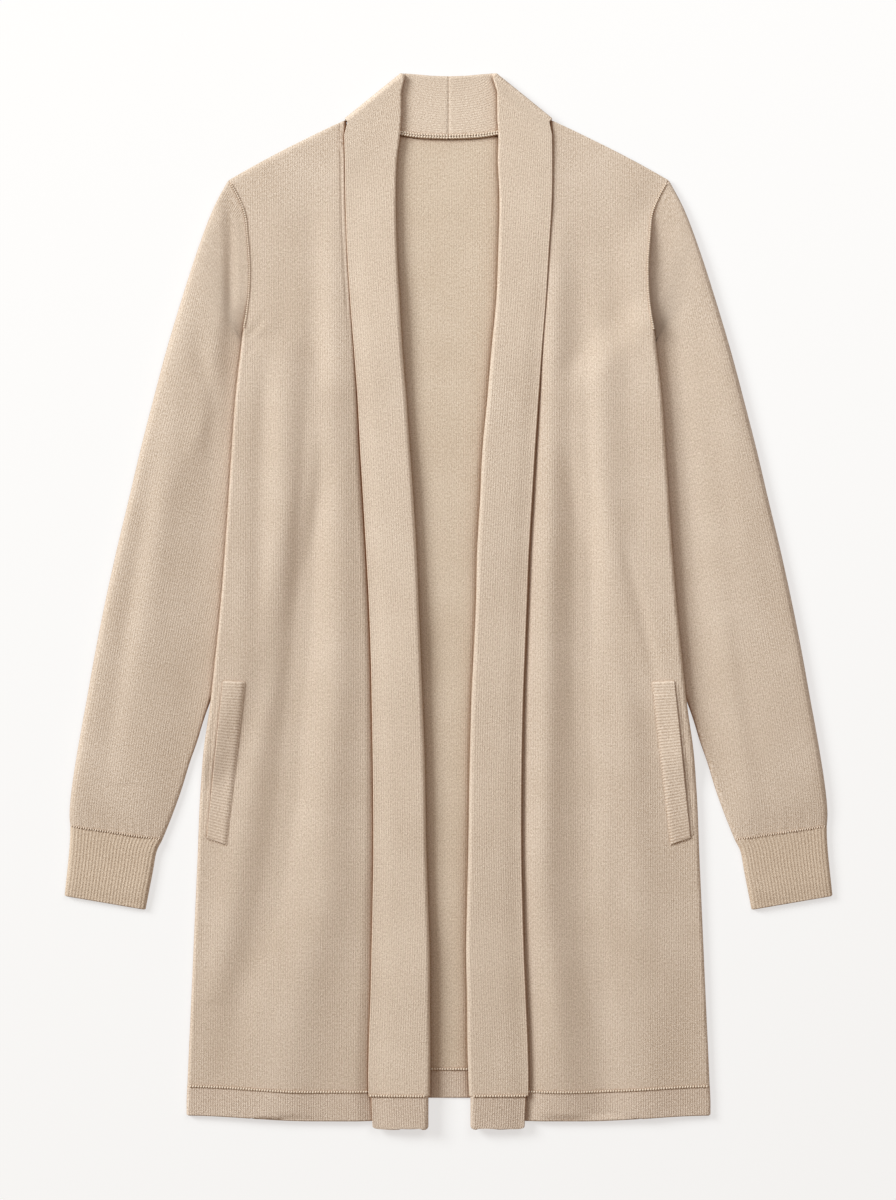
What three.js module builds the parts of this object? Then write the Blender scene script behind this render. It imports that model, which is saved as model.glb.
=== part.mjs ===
import * as THREE from "three";

// Duster cardigan in fine brushed knit, laid flat on a table with its front up and its collar towards +Y.
// Everything is in millimetres. A place on the garment is given by its "half", the distance from the centre
// back line, and its "drop", the distance below the top of the collar. The side is -1 on the left as seen
// from above and +1 on the right.

// Lengths of the garment
const GARMENT_LENGTH = 950;
const UNDERARM_DROP = 237;
const SHOULDER_TIP_DROP = 97;
const NECK_POINT_DROP = 43;
const NECK_POINT_HALF = 93;

// Thickness of the knit in each piece
const BACK_WALL = 2.0;
const FRONT_WALL = 1.8;
const SLEEVE_WALL = 1.6;
const BAND_WALL = 1.8;
const CUFF_WALL = 1.8;
const WELT_WALL = 2.0;
const HEM_WALL = 2.1;

// Clearances
const SEAM_GAP = 0.3;
const SIDE_SEAM_INSET = 3.7;
const BAND_LAP = 7;

// Loft of the layers above each other
const TUCKED_SLEEVE_HEIGHT = 4.1;
const LOOSE_SLEEVE_HEIGHT = 6.9;
const LOOSE_FROM = 7;
const LOOSE_TO = 34;
const BODY_OVER_SLEEVE = 0.8;
const LIFT_PLATEAU = 12;
const LIFT_FADE = 34;
const EDGE_ROLL = 5.5;
const EDGE_FOOT = 0.55;
const LEAST_PANEL_GAP = 0.35;
const MOST_PANEL_GAP = 3.7;
const SLOPE_GAP = 1.4;
const BAND_OVER_FRONT = 1.3;

// Knit colours
const KNIT = "#d6c3aa";
const BAND_KNIT = "#dacbb5";
const RIB_KNIT = "#c9b69f";
const INSIDE_KNIT = "#d5c1a8";

// Rows of a table become objects with the named columns.
function table(names, rows) {
  const keys = names.split(" ");
  return rows.map((row) => Object.fromEntries(row.map((value, i) => [keys[i], value])));
}

const bodySide = table("drop half", [
  [97, 198.5], [111, 190.5], [128, 183.5], [150, 181], [172, 179.3], [195, 179.6], [218, 181.7], [230, 183.7],
  [237, 185], [292, 191.5], [348, 195.5], [408, 199.5], [469, 204], [525, 209.5], [571, 214.5], [610, 220],
  [655, 223.7], [700, 225.5], [745, 227.5], [835, 231.5], [925, 235.5], [940, 235.5],
]);

const bandEdges = {
  "-1": table("drop seam roll", [
    [41, 93, 42.5], [60, 93, 44], [79, 92.5, 46.4], [115, 92, 47.3], [160, 90.5, 46.4], [205, 87.8, 44],
    [250, 84.3, 41.4], [295, 81, 37.8], [340, 78.7, 34.7], [385, 76, 31.5], [430, 73.4, 28.8], [475, 71, 27],
    [520, 69.3, 25.2], [565, 68.3, 23.4], [610, 67.5, 21.6], [655, 67, 20.7], [700, 66.8, 19.8],
    [745, 67.5, 18.4], [790, 68.4, 17], [835, 69.5, 16.7], [880, 71, 16.3], [920, 71, 16.8], [950, 67, 18],
  ]),
  1: table("drop seam roll", [
    [41, 92, 43.7], [60, 92.5, 44.8], [79, 92.7, 44.2], [115, 92.3, 45.6], [160, 89.6, 44.6],
    [205, 86.9, 42.8], [250, 83.3, 38.5], [295, 80.1, 34.7], [340, 77, 30.4], [385, 74.3, 28.2],
    [430, 71.6, 25.6], [475, 69.8, 24.6], [520, 68, 22.6], [565, 66.3, 20.4], [610, 65.3, 19.2],
    [655, 64.8, 18.3], [700, 64.8, 17.6],
    [745, 65.7, 16.6], [790, 67, 15.7], [835, 68.9, 16.6], [880, 70.7, 17], [920, 71, 18.4], [950, 68, 21],
  ]),
};

// Each section of the sleeve runs from its outer edge to its inner edge, which is tucked under the body.
const sleeveSections = table("outerHalf outerDrop innerHalf innerDrop", [
  [212, 125, 187, 243.5], [226, 162, 180.5, 255], [240, 205, 158, 270], [253.5, 250, 137, 294],
  [265.5, 295, 138, 326], [277, 340, 151.5, 369], [287.6, 385, 165, 413], [298.4, 430, 178.5, 456],
  [308.3, 475, 191.5, 498], [317.3, 520, 204.5, 540], [325.4, 565, 218.5, 578], [330, 590, 226, 602],
  [333.5, 610, 233, 622], [337.5, 635, 240, 645], [340, 655, 247.5, 666], [340.8, 668, 253, 680],
  [340.2, 678.3, 257.4, 690.6],
]);

const cuffSections = table("outerHalf outerDrop innerHalf innerDrop", [
  [340.2, 678.9, 257.6, 691.2], [340.4, 690, 262.6, 701.6], [341.8, 708, 266, 720],
  [345.3, 740.3, 272.4, 752.8],
]);

// A fold runs down the panel. Its rise is above the panel's own loft, and a trough has a negative rise.
const foldPaths = {
  "-1": {
    ridge: table("drop half rise spread", [
      [110, 116, 0.2, 14], [178, 112, 0.9, 15], [295, 112, 1.5, 16], [475, 112, 1.7, 17], [565, 117, 1.6, 18],
      [655, 118, 1.5, 19], [745, 124, 1.5, 20], [835, 148, 1.2, 24], [940, 160, 0.8, 26],
    ]),
    trough: table("drop half rise spread", [
      [180, 131, -0.2, 12], [232, 131, -0.9, 12], [295, 131, -1.5, 12], [385, 137, -1.7, 13],
      [475, 146, -1.7, 14], [565, 152, -1.6, 15], [655, 161, -1.5, 16], [745, 172, -1.4, 18],
      [835, 198, -1.2, 16], [940, 226, -0.4, 12],
    ]),
    sideTrough: table("drop half rise spread", [
      [250, 168, 0, 9], [295, 171, -0.6, 9], [385, 182, -0.8, 9], [475, 188, -0.7, 9], [540, 199, 0, 8],
    ]),
    sideRidge: table("drop half rise spread", [
      [220, 150, 0.2, 14], [295, 152, 0.8, 13], [475, 170, 1.0, 13], [655, 188, 0.9, 13], [745, 200, 0.7, 14],
      [835, 216, 0.3, 12],
    ]),
  },
  1: {
    ridge: table("drop half rise spread", [
      [160, 96, 0.1, 8], [250, 92, 1.2, 9], [295, 91, 1.6, 9], [385, 87, 1.9, 9], [475, 86, 2.0, 10],
      [655, 84, 1.9, 10], [745, 86, 1.8, 11], [835, 95, 1.6, 13], [940, 104, 1.0, 15],
    ]),
    trough: table("drop half rise spread", [
      [130, 108, -0.2, 10], [205, 109, -1.0, 11], [295, 112, -1.6, 12], [385, 110, -1.7, 12],
      [475, 115, -1.7, 12],
      [655, 114, -1.6, 13], [745, 115, -1.5, 13], [835, 126, -1.3, 14], [940, 136, -0.8, 15],
    ]),
    outerRidge: table("drop half rise spread", [
      [200, 130, 0.2, 15], [295, 132, 1.2, 15], [385, 137, 1.5, 15], [475, 140, 1.6, 16], [565, 152, 1.5, 17],
      [655, 160, 1.3, 18], [780, 168, 0.9, 20], [940, 176, 0.5, 22],
    ]),
    pocketCrease: table("drop half rise spread", [
      [420, 160, 0, 6], [450, 165, -0.7, 6], [520, 176, -0.9, 6], [556, 183, -0.2, 6],
    ]),
  },
};

const clamp = THREE.MathUtils.clamp;
const lerp = THREE.MathUtils.lerp;
const smooth = THREE.MathUtils.smoothstep;

// Reads a smooth curve through a table: the value column at a place along the key column.
function curveThrough(rows, key, value) {
  const last = rows.length - 1;
  return (at) => {
    let i = 0;
    while (i < last - 1 && at > rows[i + 1][key]) i += 1;
    const from = rows[i];
    const to = rows[i + 1];
    const before = rows[Math.max(i - 1, 0)];
    const after = rows[Math.min(i + 2, last)];
    const span = to[key] - from[key];
    const t = clamp((at - from[key]) / span, 0, 1);
    const slopeFrom = ((to[value] - before[value]) / (to[key] - before[key])) * span;
    const slopeTo = ((after[value] - from[value]) / (after[key] - from[key])) * span;
    const t2 = t * t;
    const t3 = t2 * t;
    return from[value] * (2 * t3 - 3 * t2 + 1) + slopeFrom * (t3 - 2 * t2 + t)
      + to[value] * (3 * t2 - 2 * t3) + slopeTo * (t3 - t2);
  };
}

const sideHalf = curveThrough(bodySide, "drop", "half");
const bandSeam = (side) => curveThrough(bandEdges[side], "drop", "seam");
const bandRoll = (side) => curveThrough(bandEdges[side], "drop", "roll");

const place = (side, spot, z) => new THREE.Vector3(side * spot.half, GARMENT_LENGTH - spot.drop, z);
const between = (a, b, t) => ({ half: lerp(a.half, b.half, t), drop: lerp(a.drop, b.drop, t) });
const moveSpot = (spot, way, by) => ({ half: spot.half + way.half * by, drop: spot.drop + way.drop * by });
const steps = (count) => Array.from({ length: count + 1 }, (_, i) => i / count);

// A low hump from 0 over 1 in the middle back to 0
const hump = (t) => 4 * t * (1 - t);

// Height of a quarter round edge, from 0 at the edge itself to 1 once the edge is left behind.
function quarterRound(distance, radius) {
  const t = clamp(distance / radius, 0, 1);
  return Math.sqrt(1 - (1 - t) * (1 - t));
}

// Unit normals of a grid of points, by differences to its neighbours.
function gridNormals(rows, closed) {
  const lastRow = rows.length - 1;
  const count = rows[0].length;
  const wrap = (u) => (closed ? (u + count) % count : clamp(u, 0, count - 1));
  return rows.map((row, v) => row.map((_, u) => {
    const along = rows[Math.min(v + 1, lastRow)][u].clone().sub(rows[Math.max(v - 1, 0)][u]);
    const across = row[wrap(u + 1)].clone().sub(row[wrap(u - 1)]);
    return across.cross(along).normalize();
  }));
}

// A cloth wall round a grid of mid-surface points. Its outer points may carry a relief. Its rims are closed.
function clothWall(rows, { thickness, closed = false, relief = () => 0 }) {
  const normals = gridNormals(rows, closed);
  const count = rows[0].length;
  const layer = rows.length * count;
  const positions = [];
  for (const face of [1, -1]) {
    rows.forEach((row, v) => row.forEach((mid, u) => {
      const offset = thickness / 2 + (face > 0 ? relief(u, v) : 0);
      positions.push(...mid.clone().addScaledVector(normals[v][u], face * offset).toArray());
    }));
  }
  const triangles = [];
  const quad = (a, b, c, d) => triangles.push(a, b, c, a, c, d);
  const outer = (u, v) => v * count + (u % count);
  const inner = (u, v) => layer + outer(u, v);
  const cells = closed ? count : count - 1;
  const lastRow = rows.length - 1;
  for (let v = 0; v < lastRow; v += 1) {
    for (let u = 0; u < cells; u += 1) {
      quad(outer(u, v), outer(u + 1, v), outer(u + 1, v + 1), outer(u, v + 1));
      quad(inner(u, v), inner(u, v + 1), inner(u + 1, v + 1), inner(u + 1, v));
    }
  }
  for (let u = 0; u < cells; u += 1) {
    quad(outer(u, 0), inner(u, 0), inner(u + 1, 0), outer(u + 1, 0));
    quad(outer(u + 1, lastRow), inner(u + 1, lastRow), inner(u, lastRow), outer(u, lastRow));
  }
  if (!closed) {
    for (let v = 0; v < lastRow; v += 1) {
      quad(outer(0, v + 1), inner(0, v + 1), inner(0, v), outer(0, v));
      quad(outer(count - 1, v), inner(count - 1, v), inner(count - 1, v + 1), outer(count - 1, v + 1));
    }
  }
  const geometry = new THREE.BufferGeometry();
  geometry.setAttribute("position", new THREE.Float32BufferAttribute(positions, 3));
  geometry.setIndex(triangles);
  geometry.computeVertexNormals();
  return geometry;
}

// Rows are turned round where needed, so that the outer side of every wall faces up or out.
const facingOut = (side, rows) => (side > 0 ? rows.map((row) => [...row].reverse()) : rows);

// Distance from a spot to a closed outline, 0 inside it.
function distanceOutside(spot, outline) {
  let inside = false;
  let nearest = Infinity;
  outline.forEach((a, i) => {
    const b = outline[(i + 1) % outline.length];
    if ((a.drop > spot.drop) !== (b.drop > spot.drop)) {
      const crossing = a.half + ((spot.drop - a.drop) / (b.drop - a.drop)) * (b.half - a.half);
      if (spot.half < crossing) inside = !inside;
    }
    const length2 = (b.half - a.half) ** 2 + (b.drop - a.drop) ** 2;
    const dot = (spot.half - a.half) * (b.half - a.half) + (spot.drop - a.drop) * (b.drop - a.drop);
    const foot = between(a, b, clamp(dot / length2, 0, 1));
    nearest = Math.min(nearest, Math.hypot(spot.half - foot.half, spot.drop - foot.drop));
  });
  return inside ? 0 : nearest;
}

// The tucked part of the sleeve, as seen through the body that lies on it
const TUCK_OUTLINE_HALF = 260;
const tuckedInner = sleeveSections.slice(0, 12).map((row) => ({ half: row.innerHalf, drop: row.innerDrop }));
const tuckOutline = [
  ...tuckedInner,
  { half: TUCK_OUTLINE_HALF, drop: tuckedInner[tuckedInner.length - 1].drop },
  { half: TUCK_OUTLINE_HALF, drop: tuckedInner[0].drop },
];

const FULL_LIFT = TUCKED_SLEEVE_HEIGHT + BODY_OVER_SLEEVE;

// How far the body is lifted off the table by the sleeve that lies under it
function sleeveLift(spot) {
  const away = Math.max(distanceOutside(spot, tuckOutline) - LIFT_PLATEAU, 0);
  return FULL_LIFT * (1 - smooth(away, 0, LIFT_FADE));
}

// Sum of the folds of one front at a spot
function foldRise(side, spot) {
  let rise = 0;
  for (const rows of Object.values(foldPaths[side])) {
    if (spot.drop < rows[0].drop || spot.drop > rows[rows.length - 1].drop) continue;
    const path = curveThrough(rows, "drop", "half")(spot.drop);
    const spread = curveThrough(rows, "drop", "spread")(spot.drop);
    const away = (spot.half - path) / spread;
    rise += curveThrough(rows, "drop", "rise")(spot.drop) * Math.exp(-away * away);
  }
  return rise;
}

// Middle height of the front panel, before its edges round down
const FRONT_LOFT = 2.0;
const ARMHOLE_LOFT = 1.3;
const SEAM_DIP = 24;
const ARMHOLE_FADE = 40;
const COVERED_SHARE = 0.8;
function frontHeight(side, spot) {
  const fromBand = spot.half - (bandSeam(side)(spot.drop) - BAND_LAP);
  const fromSide = sideHalf(spot.drop) - spot.half;
  const sideLoft = lerp(ARMHOLE_LOFT, FRONT_LOFT, smooth(fromSide, 0, ARMHOLE_FADE));
  const dip = smooth(fromBand, BAND_LAP * COVERED_SHARE, BAND_LAP + SEAM_DIP);
  const lift = sleeveLift(spot);
  const least = LEAST_PANEL_GAP + SLOPE_GAP * hump(lift / FULL_LIFT);
  const gap = clamp((sideLoft + foldRise(side, spot)) * dip, least, MOST_PANEL_GAP);
  return BACK_WALL + gap + FRONT_WALL / 2 + lift;
}

// The shoulder line runs from the neck point to the shoulder tip with a slight outward bow.
const SHOULDER_TIP_HALF = 198.5;
const SHOULDER_BOW = 1.6;
const shoulderFall = (SHOULDER_TIP_DROP - NECK_POINT_DROP) / (SHOULDER_TIP_HALF - NECK_POINT_HALF);
const shoulderSlant = Math.hypot(1, shoulderFall);

function shoulderDrop(half) {
  const t = clamp((half - NECK_POINT_HALF) / (SHOULDER_TIP_HALF - NECK_POINT_HALF), 0, 1);
  return NECK_POINT_DROP + shoulderFall * (half - NECK_POINT_HALF) - SHOULDER_BOW * hump(t);
}

const shoulderDistance = (spot) => (spot.drop - shoulderDrop(spot.half)) / shoulderSlant;

// Rows that the back and the fronts share below the underarm, closest where the sleeve comes out from beneath
const bodyDrops = [300, 335, 380, 435, 490, 540, 570, 590, 606, 622, 648, 700, 770, 840];

// Back panel, flat on the table apart from the sides that lie on the sleeves
const BACK_TOP_CORNER = 192;
const BACK_TOP_DROP = 98;
const BACK_NECK_HALF = 94;
const ARMHOLE_SLANT = 0.6;
const UNDERARM_FROM = UNDERARM_DROP - 6;
const UNDERARM_TO = UNDERARM_DROP + 12;
const backNeck = table("half drop", [[0, 60.8], [30, 59.4], [60, 54], [84, 48.4], [BACK_NECK_HALF, 48.2]]);
const backColumns = [0, 30, 60, 84, BACK_NECK_HALF, 118, 142, 160, 174, 184];
const BACK_ROW_FADE = 210;
const BACK_HEM_SEAM = 897;
const BACK_HEM_BOTTOM = 922;
const BACK_HEM_SIDE_FALL = 13;
const BACK_FALL_FROM = 60;
const BACK_FALL_TO = 200;
const neckDrop = curveThrough(backNeck, "half", "drop");

function backTopDrop(half) {
  if (half <= BACK_NECK_HALF) return neckDrop(half);
  return Math.min(shoulderDrop(half) + SIDE_SEAM_INSET * shoulderSlant, BACK_TOP_DROP);
}

const backBottom = (half, drop) => drop + BACK_HEM_SIDE_FALL * smooth(half, BACK_FALL_FROM, BACK_FALL_TO);

// Half width of the back, clear of the armhole seam above the underarm and inside the front's edge below it
function backHalf(drop) {
  const inset = lerp(SEAM_GAP, SIDE_SEAM_INSET, smooth(drop, UNDERARM_FROM, UNDERARM_TO));
  return Math.min(sideHalf(drop) - inset, BACK_TOP_CORNER + (drop - BACK_TOP_DROP) * ARMHOLE_SLANT);
}

function backSpot(fraction, drop) {
  const rise = backTopDrop(fraction * BACK_TOP_CORNER) - BACK_TOP_DROP;
  const fade = 1 - smooth(drop, BACK_TOP_DROP, BACK_TOP_DROP + BACK_ROW_FADE);
  return { half: fraction * backHalf(drop), drop: drop + rise * fade };
}

const backFractions = backColumns.concat([BACK_TOP_CORNER]).map((half) => half / BACK_TOP_CORNER);
const fullFractions = [...backFractions.slice(1).reverse().map((f) => -f), ...backFractions];

function backRow(dropAt, thickness) {
  return fullFractions.map((signed) => {
    const spot = dropAt(Math.abs(signed));
    return place(Math.sign(signed) || 1, spot, thickness / 2 + sleeveLift(spot));
  });
}

function backPanel() {
  const drops = [BACK_TOP_DROP, 105, 115, 128, 148, 175, 202, 218, 229, 238, 246, 255, 270, ...bodyDrops];
  const rows = drops.map((drop) => backRow((fraction) => backSpot(fraction, drop), BACK_WALL));
  rows.push(backRow((fraction) => {
    const half = fraction * (sideHalf(BACK_HEM_SEAM) - SIDE_SEAM_INSET);
    return { half, drop: backBottom(half, BACK_HEM_SEAM) };
  }, BACK_WALL));
  return clothWall(rows, { thickness: BACK_WALL });
}

function backHem() {
  const levels = [BACK_HEM_SEAM + SEAM_GAP, (BACK_HEM_SEAM + BACK_HEM_BOTTOM) / 2, BACK_HEM_BOTTOM];
  const rows = levels.map((level) => backRow((fraction) => {
    const half = fraction * (sideHalf(level) - SIDE_SEAM_INSET);
    return { half, drop: backBottom(half, level) };
  }, HEM_WALL));
  return clothWall(rows, { thickness: HEM_WALL });
}

// Front panels: from the lap under the band to the armhole and the side, whose edge rounds down to the back
const FRONT_EVEN_COLUMNS = 8;
const EDGE_INSETS = [0, 1.1, 3.2, 7];
const SHOULDER_INSETS = [0, 1.3, 3.8, 8.2];
const ROWS_LEVEL_FROM = 300;
const FRONT_SEAM_SIDE = 912;
const FRONT_SEAM_MIDDLE = 917;
const FRONT_HEM_DEPTH = 25.5;
const WRAP_FROM = UNDERARM_DROP - 4;
const WRAP_TO = UNDERARM_DROP + 14;
const FRONT_FALL_FROM = 120;
const FRONT_FALL_TO = 235;
const NECK_POINT_OPENING = 1.2;
const LAP_FROM = NECK_POINT_DROP + 8;
const LAP_TO = NECK_POINT_DROP + 34;

// The drop at the band end of a row whose side end is at the given drop
function bandEndDrop(drop) {
  const t = clamp((drop - SHOULDER_TIP_DROP) / (ROWS_LEVEL_FROM - SHOULDER_TIP_DROP), 0, 1);
  return drop - (SHOULDER_TIP_DROP - NECK_POINT_DROP) * (1 - t);
}

function frontInnerHalf(side, drop) {
  const lap = lerp(-NECK_POINT_OPENING, BAND_LAP, smooth(drop, LAP_FROM, LAP_TO));
  return bandSeam(side)(drop) - lap;
}

function frontRow(side, drop, { fall = () => 0, thickness = FRONT_WALL } = {}) {
  const outer = { half: sideHalf(drop) - FRONT_WALL / 2, drop };
  const innerDrop = bandEndDrop(drop);
  const inner = { half: frontInnerHalf(side, innerDrop), drop: innerDrop };
  const width = Math.hypot(outer.half - inner.half, outer.drop - inner.drop);
  const wrapped = smooth(drop, WRAP_FROM, WRAP_TO);
  const bowFade = 1 - smooth(drop, SHOULDER_TIP_DROP, ROWS_LEVEL_FROM);
  const insets = EDGE_INSETS.concat(steps(FRONT_EVEN_COLUMNS).slice(1)
    .map((t) => lerp(EDGE_INSETS[EDGE_INSETS.length - 1], width, t)));
  return insets.map((inset) => {
    const spot = between(outer, inner, inset / width);
    const t = inset / width;
    spot.drop += fall(spot.half) - SHOULDER_BOW * hump(t) * bowFade;
    const top = frontHeight(side, spot);
    const shoulderInset = shoulderDistance(spot);
    const sideRound = lerp(1, quarterRound(inset, EDGE_ROLL), wrapped);
    const round = Math.min(sideRound, quarterRound(shoulderInset, EDGE_ROLL));
    const foot = EDGE_FOOT + sleeveLift(spot);
    return place(side, spot, lerp(foot, top + (thickness - FRONT_WALL) / 2, round));
  });
}

const SEAM_FALL = FRONT_SEAM_MIDDLE - FRONT_SEAM_SIDE;
const frontSeamFall = (half) => SEAM_FALL * (1 - smooth(half, FRONT_FALL_FROM, FRONT_FALL_TO));

function frontRows(side) {
  const shoulderInsets = SHOULDER_INSETS.map((inset) => (FRONT_WALL / 2 + inset) * shoulderSlant);
  const shoulder = shoulderInsets.map((inset) => SHOULDER_TIP_DROP + inset);
  const drops = shoulder.concat([118, 134, 158, 184, 206, 222, 233, 242, 252, 270, ...bodyDrops]);
  const rows = drops.map((drop) => frontRow(side, drop));
  rows.push(frontRow(side, FRONT_SEAM_SIDE, { fall: frontSeamFall }));
  return rows;
}

const frontPanel = (side) => clothWall(facingOut(side, frontRows(side)), { thickness: FRONT_WALL });

function frontHem(side) {
  const rows = [SEAM_GAP, FRONT_HEM_DEPTH / 2, FRONT_HEM_DEPTH].map((depth) => (
    frontRow(side, FRONT_SEAM_SIDE + depth, { fall: frontSeamFall, thickness: HEM_WALL })));
  return clothWall(facingOut(side, rows), { thickness: HEM_WALL });
}

// Pocket welts lie on the fronts, made from the fronts' own heights moved out
const weltTop = { inner: { half: 182.5, drop: 548.5 }, outer: { half: 202, drop: 547.5 } };
const weltBottom = { inner: { half: 199.5, drop: 695 }, outer: { half: 217, drop: 689.5 } };
const WELT_RIBS = 54;
const WELT_RIB_RISE = 0.5;
const WELT_MOUTH = 1.6;
const WELT_ACROSS = 2;
const WELT_GAP = 1.15;

// Height straight above a place on the table of the surface that lies a given rise off a panel's middle
function heightOffPanel(rows, at, rise) {
  const normal = new THREE.Vector3();
  const triangle = new THREE.Triangle();
  const weights = new THREE.Vector3();
  const flat = (point) => new THREE.Vector3(point.x, point.y, 0);
  for (let v = 0; v < rows.length - 1; v += 1) {
    for (let u = 0; u < rows[v].length - 1; u += 1) {
      const [a, b, c, d] = [rows[v][u], rows[v][u + 1], rows[v + 1][u + 1], rows[v + 1][u]];
      for (const [p, q, r] of [[a, b, c], [a, c, d]]) {
        triangle.set(flat(p), flat(q), flat(r));
        triangle.getBarycoord(at, weights);
        if (Math.min(weights.x, weights.y, weights.z) > -1e-6) {
          triangle.set(p, q, r).getNormal(normal);
          return weights.x * p.z + weights.y * q.z + weights.z * r.z + rise / Math.abs(normal.z);
        }
      }
    }
  }
  return 0;
}

function pocketWelt(side) {
  const panel = facingOut(side, frontRows(side));
  const rise = FRONT_WALL / 2 + WELT_GAP + WELT_WALL / 2;
  const rows = steps(WELT_RIBS * 2).map((t) => steps(WELT_ACROSS).map((across) => {
    const inner = between(weltTop.inner, weltBottom.inner, t);
    const outer = between(weltTop.outer, weltBottom.outer, t);
    const point = place(side, between(outer, inner, across), 0);
    const mouth = WELT_MOUTH * (1 - across) * Math.sin(Math.PI * t);
    point.z = heightOffPanel(panel, point.clone(), rise) + mouth;
    return point;
  }));
  return clothWall(facingOut(side, rows), {
    thickness: WELT_WALL,
    relief: (u, v) => (v % 2 === 1 ? WELT_RIB_RISE : 0),
  });
}

// A flattened tube section on the table, from its outer edge to its inner edge and back underneath
const ARC_TURNS = [45, 90, 135];
const END_SHARE = 0.06;

function tubeSection(side, sectionAt, heightAt, wall, topCells, bottomCells) {
  const ends = [sectionAt(0), sectionAt(1)];
  const length = Math.hypot(ends[1].half - ends[0].half, ends[1].drop - ends[0].drop);
  const arcs = [0, 1].map((end) => {
    const near = sectionAt(end);
    const inwards = sectionAt(Math.abs(end - END_SHARE));
    const reach = Math.hypot(inwards.half - near.half, inwards.drop - near.drop);
    const height = heightAt(near);
    return {
      near,
      radius: (height - wall) / 2,
      middle: height / 2,
      inwards: { half: (inwards.half - near.half) / reach, drop: (inwards.drop - near.drop) / reach },
    };
  });
  const share = arcs.map((arc) => (arc.radius + wall / 2) / length);
  const along = (t) => sectionAt(lerp(share[0], 1 - share[1], t));
  const top = steps(topCells).map((t) => {
    const spot = along(t);
    return place(side, spot, heightAt(spot) - wall / 2);
  });
  const bottom = steps(bottomCells).map((t) => place(side, along(1 - t), wall / 2));
  const arcPoints = (arc, turns) => turns.map((turn) => {
    const angle = THREE.MathUtils.degToRad(turn);
    const inset = wall / 2 + arc.radius * (1 - Math.sin(angle));
    const spot = moveSpot(arc.near, arc.inwards, inset);
    return place(side, spot, arc.middle + arc.radius * Math.cos(angle));
  });
  const innerArc = arcPoints(arcs[1], ARC_TURNS);
  const outerArc = arcPoints(arcs[0], [...ARC_TURNS].reverse());
  return [...top, ...innerArc, ...bottom, ...outerArc];
}

// Height of the sleeve at a spot: low under the body, loose beside it
function sleeveHeight(spot) {
  const outside = spot.half - sideHalf(spot.drop);
  return lerp(TUCKED_SLEEVE_HEIGHT, LOOSE_SLEEVE_HEIGHT, smooth(outside, LOOSE_FROM, LOOSE_TO));
}

const SLEEVE_TOP_CELLS = 9;
const SLEEVE_BOTTOM_CELLS = 5;
const SLEEVE_HEAD_HEIGHT = 5.6;
const ARMHOLE_CLEARANCE = 0.5;
const HEAD_BELOW_TIP = 1.5;
const HEAD_BELOW_UNDERARM = 2;

// The head of the sleeve follows the armhole, one seam gap outside it
function armholeSpot(t) {
  const drop = lerp(SHOULDER_TIP_DROP + HEAD_BELOW_TIP, UNDERARM_DROP + HEAD_BELOW_UNDERARM, t);
  return { half: sideHalf(drop) + SEAM_GAP + ARMHOLE_CLEARANCE, drop };
}

function sleeve(side) {
  const head = tubeSection(side, armholeSpot, () => SLEEVE_HEAD_HEIGHT, SLEEVE_WALL, SLEEVE_TOP_CELLS,
    SLEEVE_BOTTOM_CELLS);
  const rows = sleeveSections.map((row) => {
    const outer = { half: row.outerHalf, drop: row.outerDrop };
    const inner = { half: row.innerHalf, drop: row.innerDrop };
    return tubeSection(side, (t) => between(outer, inner, t), sleeveHeight, SLEEVE_WALL, SLEEVE_TOP_CELLS,
      SLEEVE_BOTTOM_CELLS);
  });
  return clothWall(facingOut(side, [head, ...rows]), { thickness: SLEEVE_WALL, closed: true });
}

// Cuffs are ribbed along the arm on the face that shows; the face on the table stays flat
const CUFF_RIBS = 25;
const CUFF_RIB_RISE = 0.6;
const CUFF_BOTTOM_CELLS = 6;
const CUFF_HEIGHT = 6.6;

function cuff(side) {
  const rows = cuffSections.map((row) => {
    const outer = { half: row.outerHalf, drop: row.outerDrop };
    const inner = { half: row.innerHalf, drop: row.innerDrop };
    return tubeSection(side, (t) => between(outer, inner, t), () => CUFF_HEIGHT - CUFF_RIB_RISE, CUFF_WALL,
      CUFF_RIBS * 2, CUFF_BOTTOM_CELLS);
  });
  const count = rows[0].length;
  const relief = (u) => {
    const fromStart = side > 0 ? count - 1 - u : u;
    return fromStart <= CUFF_RIBS * 2 && fromStart % 2 === 1 ? CUFF_RIB_RISE : 0;
  };
  return clothWall(facingOut(side, rows), { thickness: CUFF_WALL, closed: true, relief });
}

// The band is a doubled strip. It runs up the front, folds over the shoulder and meets its pair at the back.
const BAND_TOP_CELLS = 5;
const BAND_UNDER_CELLS = 3;
const PRESSED_HALF_GAP = 1.15;
const LOFTY_HALF_GAP = 2.75;
const BAND_OVER_BACK = 2.9;
const LOFT_FROM = 60;
const LOFT_TO = 260;
const SETTLED_FROM = 57;
const SETTLED_TO = 108;
const LOFT_REACHED = 0.7;
const FOLD_RADIUS = 2.7;
const BAND_HEM_SEAM = 920;
const FOLD_SEAM_END = { half: 93, drop: 42 };
const FOLD_ROLL_END = { half: 42.5, drop: 1 };
const UNDER_ROLL_END = { half: 37.4, drop: 2.0 };
const UNDER_FROM = 60;
const UNDER_TO = 180;
const foldAcross = FOLD_SEAM_END.half - FOLD_ROLL_END.half;
const foldDown = FOLD_SEAM_END.drop - FOLD_ROLL_END.drop;
const foldLength = Math.hypot(foldAcross, foldDown);
const foldInwards = { half: -foldDown / foldLength, drop: foldAcross / foldLength };

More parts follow.
